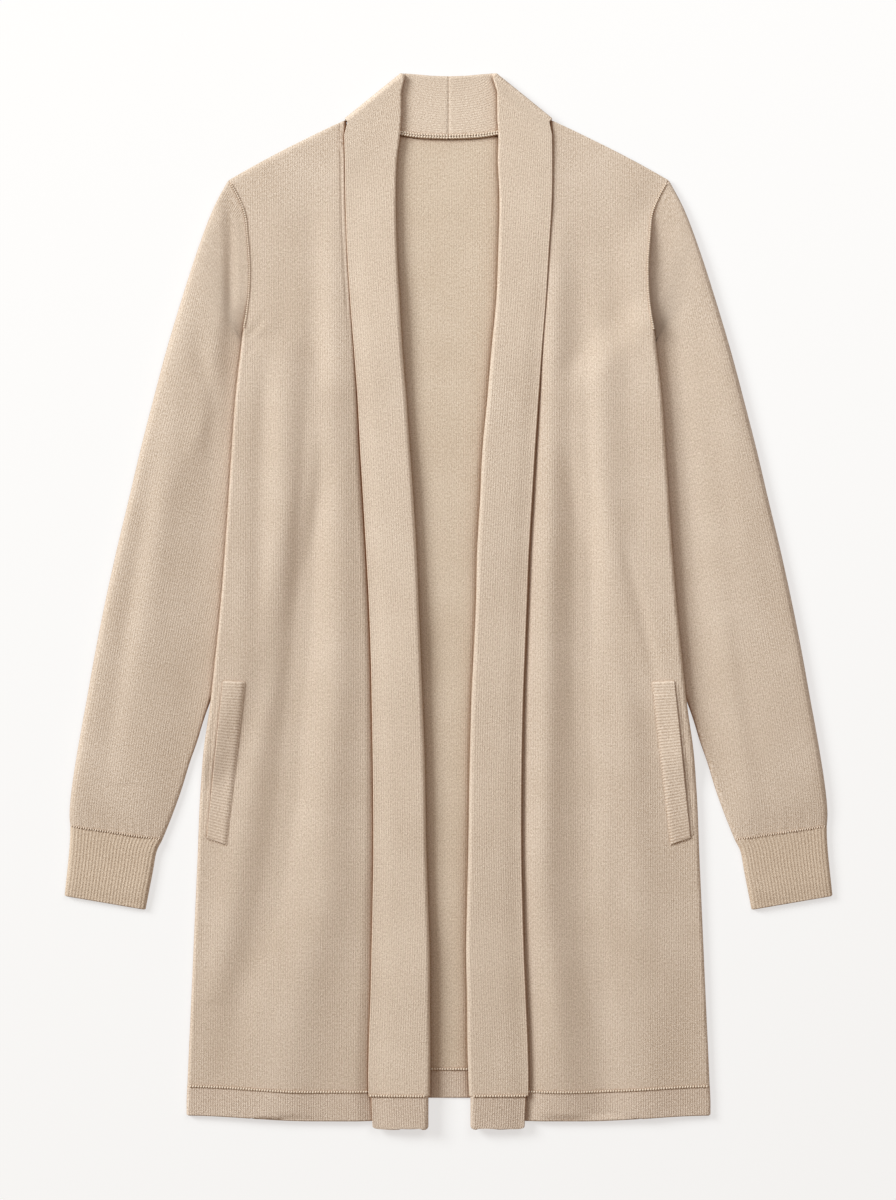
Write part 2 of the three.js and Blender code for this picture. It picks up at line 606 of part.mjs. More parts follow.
const BEHIND_NECK = table("seamHalf seamDrop rollHalf rollDrop", [
  [84, 47.8, 35, 2.1], [60, 53.5, 28, 2.5], [30, 59, 15, 3.6], [0.2, 60.5, 0.2, 4],
]);
const TURNING = table("seamDrop rollDrop", [[130, 130], [108, 97], [88, 66], [71, 39], [57, 18]]);
const BAND_DROPS = [BAND_HEM_SEAM, 870, 815, 760, 700, 640, 580, 520, 460, 400, 345, 295, 250, 210, 178, 152];

// One row of the band's middle surface: its two edges, its height at each and the half gap between its layers
function bandCentreRows(side) {
  const seamHalf = bandSeam(side);
  const rollHalf = bandRoll(side);
  const rows = [];
  const frontPart = (seamDrop, rollDrop) => {
    const loft = smooth(rollDrop, LOFT_FROM, LOFT_TO);
    const halfGap = lerp(PRESSED_HALF_GAP, LOFTY_HALF_GAP, loft);
    const settled = smooth(seamDrop, SETTLED_FROM, SETTLED_TO);
    const pressedTop = BAND_WALL / 2 + PRESSED_HALF_GAP + 2 * FOLD_RADIUS;
    const overFront = BACK_WALL + FRONT_WALL + BAND_OVER_FRONT + BAND_WALL / 2 + PRESSED_HALF_GAP;
    const overBack = BACK_WALL + BAND_OVER_BACK + BAND_WALL / 2 + halfGap;
    rows.push({
      seam: { half: seamHalf(seamDrop), drop: seamDrop },
      roll: { half: rollHalf(rollDrop), drop: rollDrop },
      seamHeight: lerp(pressedTop, overFront, settled),
      rollHeight: lerp(pressedTop, overBack, settled),
      halfGap,
    });
  };
  BAND_DROPS.forEach((drop) => frontPart(drop, drop));
  TURNING.forEach((row) => frontPart(row.seamDrop, row.rollDrop));
  const reach = FOLD_RADIUS + PRESSED_HALF_GAP + BAND_WALL / 2;
  for (const turn of [0, 36, 72, 108, 144, 180]) {
    const angle = THREE.MathUtils.degToRad(turn);
    const inset = reach - FOLD_RADIUS * Math.sin(angle);
    const seam = moveSpot(FOLD_SEAM_END, foldInwards, inset);
    const foldRoll = moveSpot(FOLD_ROLL_END, foldInwards, inset);
    const roll = between(foldRoll, UNDER_ROLL_END, smooth(turn, UNDER_FROM, UNDER_TO));
    const height = BAND_WALL / 2 + PRESSED_HALF_GAP + FOLD_RADIUS * (1 + Math.cos(angle));
    rows.push({ seam, roll, seamHeight: height, rollHeight: height, halfGap: PRESSED_HALF_GAP });
  }
  for (const row of BEHIND_NECK) {
    const height = BAND_WALL / 2 + PRESSED_HALF_GAP;
    rows.push({
      seam: { half: row.seamHalf, drop: row.seamDrop }, roll: { half: row.rollHalf, drop: row.rollDrop },
      seamHeight: height, rollHeight: height, halfGap: PRESSED_HALF_GAP,
    });
  }
  return rows;
}

// Turns the middle surface of the strip into its two layers, joined by the roll at the open edge
function doubledStrip(side, centreRows) {
  const centre = centreRows.map((row) => {
    const length = Math.hypot(row.seam.half - row.roll.half, row.seam.drop - row.roll.drop);
    const end = 1 - (row.halfGap + BAND_WALL / 2) / length;
    return steps(BAND_TOP_CELLS).map((t) => {
      const spot = between(row.seam, row.roll, t * end);
      return place(side, spot, lerp(row.seamHeight, row.rollHeight, smooth(t, 0, 1)));
    });
  });
  const normals = gridNormals(centre, false).map((row) => row.map((n) => n.multiplyScalar(side)));
  return centre.map((row, v) => {
    const halfGap = (t) => lerp(PRESSED_HALF_GAP, centreRows[v].halfGap, smooth(t, 0, LOFT_REACHED));
    const layer = (cells, face) => steps(cells).map((t) => {
      const u = t * BAND_TOP_CELLS;
      const low = Math.min(Math.floor(u), BAND_TOP_CELLS - 1);
      const point = row[low].clone().lerp(row[low + 1], u - low);
      const normal = normals[v][low].clone().lerp(normals[v][low + 1], u - low).normalize();
      return point.addScaledVector(normal, face * halfGap(t));
    });
    const last = row[BAND_TOP_CELLS];
    const outwards = last.clone().sub(row[BAND_TOP_CELLS - 1]).normalize();
    const roll = ARC_TURNS.map((turn) => {
      const angle = THREE.MathUtils.degToRad(turn);
      return last.clone().addScaledVector(normals[v][BAND_TOP_CELLS], centreRows[v].halfGap * Math.cos(angle))
        .addScaledVector(outwards, centreRows[v].halfGap * Math.sin(angle));
    });
    return [...layer(BAND_TOP_CELLS, 1), ...roll, ...layer(BAND_UNDER_CELLS, -1).reverse()];
  });
}

function band(side) {
  const rows = doubledStrip(side, bandCentreRows(side));
  return clothWall(facingOut(side, rows), { thickness: BAND_WALL });
}

// The band's own hem, whose open corner is rounded
const BAND_HEM_FALL = 29.5;
const CORNER_RISE = 3.6;
const CORNER_FROM = BAND_HEM_FALL * 0.6;

function bandHem(side) {
  const first = bandCentreRows(side)[0];
  const centreRows = [SEAM_GAP, BAND_HEM_FALL / 2, CORNER_FROM, BAND_HEM_FALL].map((depth) => {
    const drop = BAND_HEM_SEAM + depth;
    const corner = CORNER_RISE * smooth(depth, CORNER_FROM, BAND_HEM_FALL);
    return {
      ...first,
      seam: { half: bandSeam(side)(drop), drop },
      roll: { half: bandRoll(side)(drop), drop: drop - corner },
    };
  });
  return clothWall(facingOut(side, doubledStrip(side, centreRows)), { thickness: BAND_WALL });
}

function knit(name, geometry, color) {
  const material = new THREE.MeshStandardMaterial({ color, roughness: 0.95, metalness: 0 });
  const mesh = new THREE.Mesh(geometry, material);
  mesh.name = name;
  return mesh;
}

const cardigan = new THREE.Group();
cardigan.add(knit("back", backPanel(), INSIDE_KNIT));
cardigan.add(knit("back_hem", backHem(), INSIDE_KNIT));
for (const [word, side] of [["left", -1], ["right", 1]]) {
  cardigan.add(knit(`front_${word}`, frontPanel(side), KNIT));
  cardigan.add(knit(`front_${word}_hem`, frontHem(side), KNIT));
  cardigan.add(knit(`pocket_welt_${word}`, pocketWelt(side), RIB_KNIT));
  cardigan.add(knit(`sleeve_${word}`, sleeve(side), KNIT));
  cardigan.add(knit(`cuff_${word}`, cuff(side), RIB_KNIT));
  cardigan.add(knit(`band_${word}`, band(side), BAND_KNIT));
  cardigan.add(knit(`band_${word}_hem`, bandHem(side), BAND_KNIT));
}

// The origin is put on the table, under the middle of the garment.
const box = new THREE.Box3().setFromObject(cardigan);
const middle = box.getCenter(new THREE.Vector3());
cardigan.position.set(-middle.x, -middle.y, -box.min.z);

export default cardigan;
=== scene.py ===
# %% [markdown]
# # Duster cardigan, laid flat
# A long open-front cardigan in fine brushed knit lies face up on a white table, and the camera looks straight
# down on it. This lesson dresses the fixed model of the garment: every piece of cloth is made again as a finer
# thin wall on the form of its solid, with its folds, seams and knit.

# %% Load the frame
import math

import bpy
import numpy as np
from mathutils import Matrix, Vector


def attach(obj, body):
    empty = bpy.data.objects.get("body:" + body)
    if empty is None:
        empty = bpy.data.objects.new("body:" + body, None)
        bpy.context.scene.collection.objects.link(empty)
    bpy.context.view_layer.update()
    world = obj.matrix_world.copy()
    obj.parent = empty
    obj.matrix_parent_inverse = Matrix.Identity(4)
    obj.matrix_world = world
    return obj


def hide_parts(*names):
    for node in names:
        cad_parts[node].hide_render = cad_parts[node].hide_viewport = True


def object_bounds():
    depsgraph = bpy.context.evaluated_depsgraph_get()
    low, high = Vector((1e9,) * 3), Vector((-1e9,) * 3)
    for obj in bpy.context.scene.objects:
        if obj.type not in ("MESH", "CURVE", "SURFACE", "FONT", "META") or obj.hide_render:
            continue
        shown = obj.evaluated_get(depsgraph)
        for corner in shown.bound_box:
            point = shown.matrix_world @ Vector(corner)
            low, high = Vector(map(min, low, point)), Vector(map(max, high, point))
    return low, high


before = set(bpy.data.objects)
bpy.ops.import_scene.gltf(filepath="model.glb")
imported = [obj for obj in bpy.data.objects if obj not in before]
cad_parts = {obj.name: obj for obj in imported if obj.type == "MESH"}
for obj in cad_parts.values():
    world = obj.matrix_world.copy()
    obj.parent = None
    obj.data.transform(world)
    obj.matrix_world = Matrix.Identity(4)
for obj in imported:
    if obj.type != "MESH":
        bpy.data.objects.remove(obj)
cad_box = [list(corner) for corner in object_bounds()]
print("nodes:", len(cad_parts), "box in metres:", cad_box)

# %% [markdown]
# ## Sizes and places
# A tailor gives a place on a garment by how far it lies from the centre back line and how far it drops below
# the collar. The same two numbers are used here, in millimetres: "half" and "drop". The side is -1 on the left
# of the picture and +1 on the right. Tables hold the cut, a row for each place that the outline turns.

# %% Millimetres to metres, tables and smooth curves
MM = 0.001
COLLAR_TIP_DROP = 1.475
WORD = {-1: "left", 1: "right"}
TOP_Y = cad_box[1][1] / MM + COLLAR_TIP_DROP


def table(names, rows):
    return dict(zip(names.split(), np.array(rows, float).T))


def lerp(a, b, t):
    return a + (b - a) * t


def smooth(x, low, high):
    t = np.clip((np.asarray(x, float) - low) / (high - low), 0, 1)
    return t * t * (3 - 2 * t)


def hermite(a, b, slope_a, slope_b, t):
    """From a to b on a smooth path that leaves and arrives at the given slopes."""
    return (a * (2 * t**3 - 3 * t**2 + 1) + slope_a * (t**3 - 2 * t**2 + t)
            + b * (3 * t**2 - 2 * t**3) + slope_b * (t**3 - t**2))


def curve(rows, key, value, at):
    """A smooth curve through a table's rows, read at one place or at an array of places."""
    x, y = rows[key], rows[value]
    last = len(x) - 1
    i = np.clip(np.searchsorted(x, at, side="left") - 1, 0, last - 1)
    before, after = np.maximum(i - 1, 0), np.minimum(i + 2, last)
    span = x[i + 1] - x[i]
    t = np.clip((at - x[i]) / span, 0, 1)
    slope_a = (y[i + 1] - y[before]) / (x[i + 1] - x[before]) * span
    slope_b = (y[after] - y[i]) / (x[after] - x[i]) * span
    return hermite(y[i], y[i + 1], slope_a, slope_b, t)


def place(side, half, drop, height):
    return np.stack(np.broadcast_arrays(side * half, TOP_Y - drop, height), -1)


def unit(vectors):
    return vectors / np.linalg.norm(vectors, axis=-1, keepdims=True)


def run_along(points):
    """The length of each path up to each of its points."""
    steps = np.linalg.norm(np.diff(points, axis=-2), axis=-1)
    return np.concatenate([np.zeros_like(steps[..., :1]), np.cumsum(steps, -1)], -1)


print("top of the collar at", round(TOP_Y, 2), "mm")

# %% The cut of the garment
UNDERARM, SHOULDER_TIP, SHOULDER_TIP_HALF = 237, 97, 198.5
NECK_POINT, NECK_POINT_HALF, SHOULDER_BOW = 43, 93, 1.6
BACK_WALL, FRONT_WALL, SLEEVE_WALL, BAND_WALL, CUFF_WALL, WELT_WALL, HEM_WALL = 2.0, 1.8, 1.6, 1.8, 1.8, 2.0, 2.1

SIDE = table("drop half", [
    [97, 198.5], [111, 190.5], [128, 183.5], [150, 181], [172, 179.3], [195, 179.6], [218, 181.7], [230, 183.7],
    [237, 185], [292, 191.5], [348, 195.5], [408, 199.5], [469, 204], [525, 209.5], [571, 214.5], [610, 220],
    [655, 223.7], [700, 225.5], [745, 227.5], [835, 231.5], [925, 235.5], [940, 235.5]])

BAND = table("drop left_seam left_roll right_seam right_roll", [
    [41, 93, 42.5, 92, 43.7], [60, 93, 44, 92.5, 44.8], [79, 92.5, 46.4, 92.7, 44.2], [115, 92, 47.3, 92.3, 45.6],
    [160, 90.5, 46.4, 89.6, 44.6], [205, 87.8, 44, 86.9, 42.8], [250, 84.3, 41.4, 83.3, 38.5],
    [295, 81, 37.8, 80.1, 34.7], [340, 78.7, 34.7, 77, 30.4], [385, 76, 31.5, 74.3, 28.2],
    [430, 73.4, 28.8, 71.6, 25.6], [475, 71, 27, 69.8, 24.6], [520, 69.3, 25.2, 68, 22.6],
    [565, 68.3, 23.4, 66.3, 20.4], [610, 67.5, 21.6, 65.3, 19.2], [655, 67, 20.7, 64.8, 18.3],
    [700, 66.8, 19.8, 64.8, 17.6], [745, 67.5, 18.4, 65.7, 16.6], [790, 68.4, 17, 67, 15.7],
    [835, 69.5, 16.7, 68.9, 16.6], [880, 71, 16.3, 70.7, 17], [920, 71, 16.8, 71, 18.4], [950, 67, 18, 68, 21]])

EDGES = "outer_half outer_drop inner_half inner_drop"
SLEEVE = table(EDGES, [
    [212, 125, 184.6, 243.5], [226, 162, 180.5, 255], [240, 205, 158, 270], [253.5, 250, 137, 294],
    [265.5, 295, 138, 326], [277, 340, 151.5, 369], [287.6, 385, 165, 413], [298.4, 430, 178.5, 456],
    [308.3, 475, 191.5, 498], [317.3, 520, 204.5, 540], [325.4, 565, 218.5, 578], [330, 590, 226, 602],
    [333.5, 610, 233, 622], [337.5, 635, 240, 645], [340, 655, 247.5, 666], [340.8, 668, 253, 680],
    [340.2, 678.3, 257.4, 690.6]])

CUFF = table(EDGES, [
    [340.2, 678.9, 257.6, 691.2], [340.4, 690, 262.6, 701.6], [341.8, 708, 266, 720], [345.3, 740.3, 272.4, 752.8]])


def side_half(drop):
    return curve(SIDE, "drop", "half", np.clip(drop, SIDE["drop"][0], SIDE["drop"][-1]))


def band_edge(side, edge, drop):
    return curve(BAND, "drop", f"{WORD[side]}_{edge}", drop)


print("sleeve sections:", len(SLEEVE["outer_half"]), "band rows:", len(BAND["drop"]))

# %% [markdown]
# ## Light, table and camera
# The picture is a flat lay. A far, cool window at the upper left shapes the folds. A nearer one beyond the collar
# makes the top brighter than the hem. The room sends warm light back into the shadows, so that they come out brown
# rather than grey. The camera hangs straight above the garment on a long lens, so that nothing leans.

# %% Camera above the table
FRAME_HEIGHT_MM = 1080
LENS_MM, SENSOR_MM = 100, 36
FRAME_CENTRE = (-0.5, 0.3)
camera_height = FRAME_HEIGHT_MM * MM * LENS_MM / SENSOR_MM

scene = bpy.context.scene
camera_data = bpy.data.cameras.new("flat_lay_camera")
camera_data.lens = LENS_MM
camera_data.sensor_width = SENSOR_MM
camera = bpy.data.objects.new("flat_lay_camera", camera_data)
camera.location = (FRAME_CENTRE[0] * MM, FRAME_CENTRE[1] * MM, camera_height)
scene.collection.objects.link(camera)
scene.camera = camera
scene.view_settings.view_transform = "Standard"
print("camera is", round(camera_height, 2), "m above the table")


# %% Soft key light, second window and the warm room
def area_light(name, place_m, size_m, watts, colour):
    """A square window that faces the middle of the garment."""
    data = bpy.data.lights.new(name, "AREA")
    data.shape, data.size, data.energy, data.color = "SQUARE", size_m, watts, colour
    lamp = bpy.data.objects.new(name, data)
    lamp.location = place_m
    x, y, z = place_m
    lamp.rotation_euler = (math.acos(z / np.linalg.norm(place_m)), 0, math.atan2(-y, -x) - math.pi / 2)
    scene.collection.objects.link(lamp)


ROOM_COLOUR, ROOM_STRENGTH = (1, 0.64, 0.36, 1), 0.22
area_light("window_key", (-4.9, 2.7, 3.4), 2.6, 474, (0.945, 0.99, 1))
area_light("window_above", (0.6, 0.95, 1.6), 1.2, 14, (0.9, 0.96, 1))
world = bpy.data.worlds.new("warm_room")
world.use_nodes = True
room = world.node_tree.nodes["Background"]
room.inputs["Color"].default_value, room.inputs["Strength"].default_value = ROOM_COLOUR, ROOM_STRENGTH
scene.world = world

# %% [markdown]
# ## Materials
# Fine jersey is knitted from one soft yarn: columns of V-shaped stitches (wales) stand side by side. Brushing
# lifts a haze of fibre over them, so that the eye reads a mottled, matt surface with a pale bloom at its edges.
# Colours are sRGB hex values. Pattern sizes are millimetres along each piece's own cut, kept in its UV map.

# %% Colour and node helpers
def linear(hex_colour):
    values = [int(hex_colour[i:i + 2], 16) / 255 for i in (1, 3, 5)]
    return [v / 12.92 if v <= 0.04045 else ((v + 0.055) / 1.055) ** 2.4 for v in values] + [1.0]


def add(tree, kind, links=None, **settings):
    """Adds a node, sets its own properties or its inputs, and links sockets of other nodes into it."""
    node = tree.nodes.new(kind)
    for name, value in settings.items():
        if hasattr(node, name):
            setattr(node, name, value)
        else:
            node.inputs[name.replace("_", " ")].default_value = value
    for name, source in (links or {}).items():
        tree.links.new(source, node.inputs[name])
    return node


print("oatmeal in linear light:", [round(v, 3) for v in linear("#d8c6ae")])


# %% Wool surfaces
def blank_material(name):
    material = bpy.data.materials.new(name)
    material.use_nodes = True
    material.node_tree.nodes.clear()
    return material, material.node_tree


def noise(tree, vector, size_mm, detail, roughness=0.5):
    return add(tree, "ShaderNodeTexNoise", {"Vector": vector}, Scale=1 / (size_mm * MM), Detail=detail,
               Roughness=roughness).outputs["Fac"]


def heather(tree, tone, *stops):
    """Light and dark fibres spun into one yarn: colour by tone, through pairs of a tone and a colour."""
    ramp = add(tree, "ShaderNodeValToRGB", {"Fac": tone})
    for at, _ in stops[1:-1]:
        ramp.color_ramp.elements.new(at)
    for element, (at, colour) in zip(ramp.color_ramp.elements, stops):
        element.position, element.color = at, linear(colour)
    return ramp.outputs["Color"]


def wool_surface(tree, colour, height, strength, depth_mm, bloom="#ffffff"):
    """Wool has next to no gloss. Loose fibre gives it a faint pale bloom at a low angle."""
    bump = add(tree, "ShaderNodeBump", {"Height": height}, Strength=strength, Distance=depth_mm * MM)
    shader = add(tree, "ShaderNodeBsdfPrincipled", {"Base Color": colour, "Normal": bump.outputs[0]}, Roughness=0.95,
                 Sheen_Weight=0.12, Sheen_Roughness=0.5, Sheen_Tint=linear(bloom), Specular_IOR_Level=0.12)
    add(tree, "ShaderNodeOutputMaterial", {"Surface": shader.outputs[0]})


# %% Brushed jersey
# A real wale is about 1 mm wide and a real rib 2 mm. They would vanish in the picture, so they are drawn coarser.
WALE_MM, COURSE_MM, CUFF_RIB_MM, WELT_RIB_MM, LEG_LEAN = 2.1, 1.7, 3.3, 2.7, 1.3
HAZE_MM, GRAIN_MM, PATCH_MM, PATCH_SHARE, FUZZ_DEPTH = 1.3, 0.65, 60, 0.12, 0.6
# Painted shade in creases: how far it reaches, how strong it is, its power and its brown
PAINTED_SHADE_REACH_MM, PAINTED_SHADE_STRENGTH, PAINTED_SHADE_POWER, PAINTED_SHADE_BROWN = 20, 2.2, 1.5, "#b8957a"


def knit_material(name, base, dark, light, wale_mm=WALE_MM, wale_depth=0.14, painted_rib_shade=0.0):
    """Brushed knit: V-shaped stitches at the given pitch under a haze of fibre, with heathered colour and painted
    brown shade in its creases.
    """
    material, tree = blank_material(name)
    cut = add(tree, "ShaderNodeUVMap", uv_map="cut").outputs[0]
    axes = add(tree, "ShaderNodeSeparateXYZ", {"Vector": cut})

    def maths(operation, *values):
        node = add(tree, "ShaderNodeMath", operation=operation)
        for socket, value in zip(node.inputs, values):
            if isinstance(value, float):
                socket.default_value = value
            else:
                tree.links.new(value, socket)
        return node.outputs[0]

    def weighted(total, *parts):
        for socket, weight in parts:
            total = maths("MULTIPLY_ADD", socket, weight, total)
        return total

    # Stitches: each wale is a column of Vs, its two legs meeting in the middle
    across = maths("DIVIDE", axes.outputs["X"], wale_mm * MM)
    leg = maths("ABSOLUTE", maths("SUBTRACT", maths("FRACT", across), 0.5))
    along = maths("ADD", maths("DIVIDE", axes.outputs["Y"], COURSE_MM * MM), maths("MULTIPLY", leg, LEG_LEAN))
    rows = maths("SINE", maths("MULTIPLY", along, 2 * math.pi))
    column = maths("COSINE", maths("MULTIPLY", across, 2 * math.pi))
    stitches = weighted(0.0, (rows, 0.35), (column, 0.65))

    # Fibre haze: fine mottling a little longer along the wales, and broad soft patches. The stitches show through
    # it. On rib, painted shade darkens the colour between two ribs
    stretched = add(tree, "ShaderNodeMapping", {"Vector": cut}, vector_type="POINT", Scale=(1.0, 0.7, 1.0)).outputs[0]
    haze = noise(tree, stretched, HAZE_MM, 3.0, 0.65)
    grain = noise(tree, stretched, GRAIN_MM, 2.0, 0.7)
    patches = noise(tree, cut, PATCH_MM, 2.0)
    tone = weighted(-PATCH_SHARE / 2, (haze, 0.62), (grain, 0.38), (patches, PATCH_SHARE), (stitches, 0.03),
                    (column, -painted_rib_shade))
    colour = heather(tree, tone, (0.37, dark), (0.5, base), (0.63, light))

    # Painted shade: where ambient occlusion finds the cloth closed in, in creases, at seams and under edges, the
    # colour is multiplied towards a brown. It stands in for light that goes from fibre to fibre in a crease and loses
    # its blue, so that the shade looks brown and not grey. The power keeps open cloth clean.
    near = add(tree, "ShaderNodeAmbientOcclusion", Distance=PAINTED_SHADE_REACH_MM * MM, samples=8)
    closed = maths("POWER", maths("SUBTRACT", 1.0, near.outputs["AO"]), PAINTED_SHADE_POWER)
    closed = maths("MINIMUM", maths("MULTIPLY", closed, PAINTED_SHADE_STRENGTH), 1.0)
    colour = add(tree, "ShaderNodeMixRGB", {"Fac": closed, "Color1": colour}, blend_type="MULTIPLY",
                 Color2=linear(PAINTED_SHADE_BROWN)).outputs["Color"]

    height = weighted(0.0, (stitches, wale_depth), (haze, FUZZ_DEPTH), (grain, FUZZ_DEPTH / 2))
    wool_surface(tree, colour, height, 0.85, 1.1, "#fff4e4")
    return material


def yarn_material(name, dark, light):
    """One soft yarn, its colour painted lighter than the knit round it: a painted highlight, for it lies on top."""
    material, tree = blank_material(name)
    hairs = noise(tree, add(tree, "ShaderNodeTexCoord").outputs["Object"], 0.7, 2.0)
    wool_surface(tree, heather(tree, hairs, (0.35, dark), (0.65, light)), hairs, 0.5, 0.3)
    return material


wool = {
    # Knit face out and brushed: even, soft and matt
    "jersey": knit_material("brushed_jersey", "#d8c7b6", "#c2ae98", "#ebddce"),
    # The purl side, brushed less: flatter and yellower
    "inside": knit_material("jersey_inside", "#d9c8b4", "#c3ae97", "#ebddcc", wale_depth=0.1),
    # The same jersey in two layers, firm and a little lighter
    "band": knit_material("doubled_jersey", "#ddccba", "#c8b4a0", "#efe1d1"),
    # Face and purl wales in turn: ridges, with painted shade between them
    "rib": knit_material("fine_rib", "#d6c4b0", "#c0ab95", "#e8d8c5", CUFF_RIB_MM, 0.1, 0.08),
    "welt": knit_material("welt_rib", "#dbcab9", "#c3ae99", "#eddfd0", WELT_RIB_MM, 0.1, 0.1),
    # Knitted tighter as a tube, so its wales stand out more
    "hem": knit_material("tubular_hem", "#dbcaba", "#c5b09c", "#eddfd0", wale_depth=0.22),
}
linking_yarn = yarn_material("linking_yarn", "#d5c2ac", "#efe3d4")
print("materials:", list(wool), linking_yarn.name)

# %% [markdown]
# ## From a grid of points to a wall of cloth
# Knit has a thickness that shows at every edge. Each piece starts as a grid of points in the middle of the
# cloth. The grid is pushed out and in by half the thickness, and a rounded rim closes it all round, which is
# softer than Blender's Solidify modifier would leave it.


# %% Cloth wall helper
def grid_normals(mid, closed=False):
    """Unit normals of a grid whose rows run down the garment and whose columns run from left to right."""
    padded = np.concatenate([mid[:, -1:], mid, mid[:, :1]], 1) if closed else mid
    across = np.gradient(padded, axis=1)
    across = across[:, 1:-1] if closed else across
    return unit(np.cross(np.gradient(mid, axis=0), across))


NEAR_END, RIM = np.array([0.07, 0.2, 0.45]), 0.45


def finer_ends(rows):
    """Extra rows close to both ends, so that smooth shading keeps the rounding of an edge as narrow as it is."""
    first = [lerp(rows[0], rows[1], t) for t in NEAR_END]
    last = [lerp(rows[-1], rows[-2], t) for t in NEAR_END[::-1]]
    return np.concatenate([rows[:1], first, rows[1:-1], last, rows[-1:]])


def border_paths(rows, columns, closed):
    """The open borders of a grid, each as a path with the cloth on its left."""
    if closed:
        return [np.array([(0, u) for u in range(columns)][::-1]), np.array([(rows - 1, u) for u in range(columns)])]
    down, right = np.arange(rows), np.arange(columns)
    path = [(v, 0) for v in down] + [(rows - 1, u) for u in right[1:]]
    path += [(v, columns - 1) for v in down[::-1][1:]] + [(0, u) for u in right[::-1][1:-1]]
    return [np.array(path)]


def riding_piece(name, points, faces, material):
    """A smooth mesh from points in millimetres, fixed to the one body."""
    mesh = bpy.data.meshes.new(name)
    mesh.from_pydata((points * MM).tolist(), [], faces)
    mesh.shade_smooth()
    mesh.materials.append(material)
    piece = bpy.data.objects.new(name, mesh)
    scene.collection.objects.link(piece)
    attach(piece, "root")
    return piece


def cloth(name, node, mid, cut, thickness, material, closed=False, relief=0.0):
    """A closed wall of cloth round a grid of middle points, with its cut as a UV map in metres."""
    rows, columns = mid.shape[:2]
    normals = grid_normals(mid, closed)
    lift = thickness / 2 + np.broadcast_to(relief, (rows, columns))[..., None]
    points = [(mid + normals * lift).reshape(-1, 3), (mid - normals * (thickness / 2)).reshape(-1, 3)]
    vertex = np.arange(rows * columns).reshape(rows, columns)
    corner = np.arange(cut[..., 0].size).reshape(rows, -1)
    if closed:
        vertex = np.concatenate([vertex, vertex[:, :1]], 1)

    def quads(ids):
        return np.stack([ids[:-1, :-1], ids[1:, :-1], ids[1:, 1:], ids[:-1, 1:]], -1).reshape(-1, 4)

    def turn(ids):
        return np.roll(ids, -1)

    layer = rows * columns
    faces = [quads(vertex), quads(vertex)[:, ::-1] + layer]
    corners = [quads(corner), quads(corner)[:, ::-1]]
    count = 2 * layer
    for path in border_paths(rows, columns, closed):
        v, u = path[:, 0], path[:, 1]
        inside_u = u if closed else np.clip(u, 1, columns - 2)
        outwards = unit(mid[v, u] - mid[np.clip(v, 1, rows - 2), inside_u])
        points.append(mid[v, u] + outwards * thickness * RIM)
        edge = vertex[v, u]
        tip = count + np.arange(len(path))
        near = corner[v, u]
        faces.append(np.stack([edge, tip, turn(tip), turn(edge)], 1))
        faces.append(np.stack([tip, edge + layer, turn(edge) + layer, turn(tip)], 1))
        corners += [np.stack([near, near, turn(near), turn(near)], 1)] * 2
        count += len(path)
    points, faces, corners = np.concatenate(points), np.concatenate(faces), np.concatenate(corners)
    piece = riding_piece(name, points, faces.tolist(), material)
    uv = piece.data.uv_layers.new(name="cut")
    uv.data.foreach_set("uv", (cut.reshape(-1, 2)[corners.ravel()] * MM).ravel())
    if node:
        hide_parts(node)
    print(name, "faces", len(faces), "size mm", np.round(points.max(0) - points.min(0), 1))
    return piece


def to_right(side, *grids):
    """Grids are made from the outer edge inwards, and their columns must run from left to right."""
    return [grid[:, ::-1] if side > 0 else grid for grid in grids]


def laid(side, half, drop, height):
    """The middle points and the cut of a panel."""
    return to_right(side, place(side, half, drop, height), np.stack([half, drop], -1))


# %% [markdown]
# ## Linking stitches
# A linking machine joins knitted pieces loop by loop, and leaves a row of small slanted stitches on the seam. Each
# stitch here is a short arched bead of yarn. They are real little forms, so that they catch light and leave dark
# gaps between them.

# %% Rows of stitches
RING_AT, RING_SIZE, RING_SIDES = np.array([[-0.72], [0], [0.72]]), np.array([[0.7], [1], [0.7]]), 6
STITCH_ARCH, STITCH_HEIGHT = 0.3, 0.4
# Pitch, length and width of the stitches on each kind of seam, and their lean in degrees
HEM_STITCH, ARMHOLE_STITCH, CUFF_STITCH = (2.4, 2.6, 2.1), (2.0, 2.2, 1.9), (2.2, 2.6, 1.3)
NECK_STITCH, WELT_STITCH = (2.5, 3.0, 2.0), (2.7, 1.9, 0.9)
HEM_LEAN, ARMHOLE_LEAN, CUFF_LEAN, NECK_LEAN, WELT_END_LEAN, WELT_SIDE_LEAN = 74, 68, 78, 35, 75, 80


def one_stitch(long, wide):
    angle = np.arange(RING_SIDES) * 2 * math.pi / RING_SIDES
    height = wide * (STITCH_HEIGHT * RING_SIZE * np.sin(angle) + STITCH_ARCH * (1 - RING_AT**2))
    rings = np.stack(np.broadcast_arrays(RING_AT * long / 2, RING_SIZE * np.cos(angle) * wide / 2, height), -1)
    tips = [[-long / 2, 0, 0], [long / 2, 0, 0]]
    first = np.arange(RING_SIDES)
    after = np.roll(first, -1)
    faces = [[a + n, b + n, b + n + RING_SIDES, a + n + RING_SIDES]
             for n in (0, RING_SIDES) for a, b in zip(first, after)]
    last = 2 * RING_SIDES
    faces += [[3 * RING_SIDES, b, a] for a, b in zip(first, after)]
    faces += [[3 * RING_SIDES + 1, a + last, b + last] for a, b in zip(first, after)]
    return np.concatenate([rings.reshape(-1, 3), tips]), faces


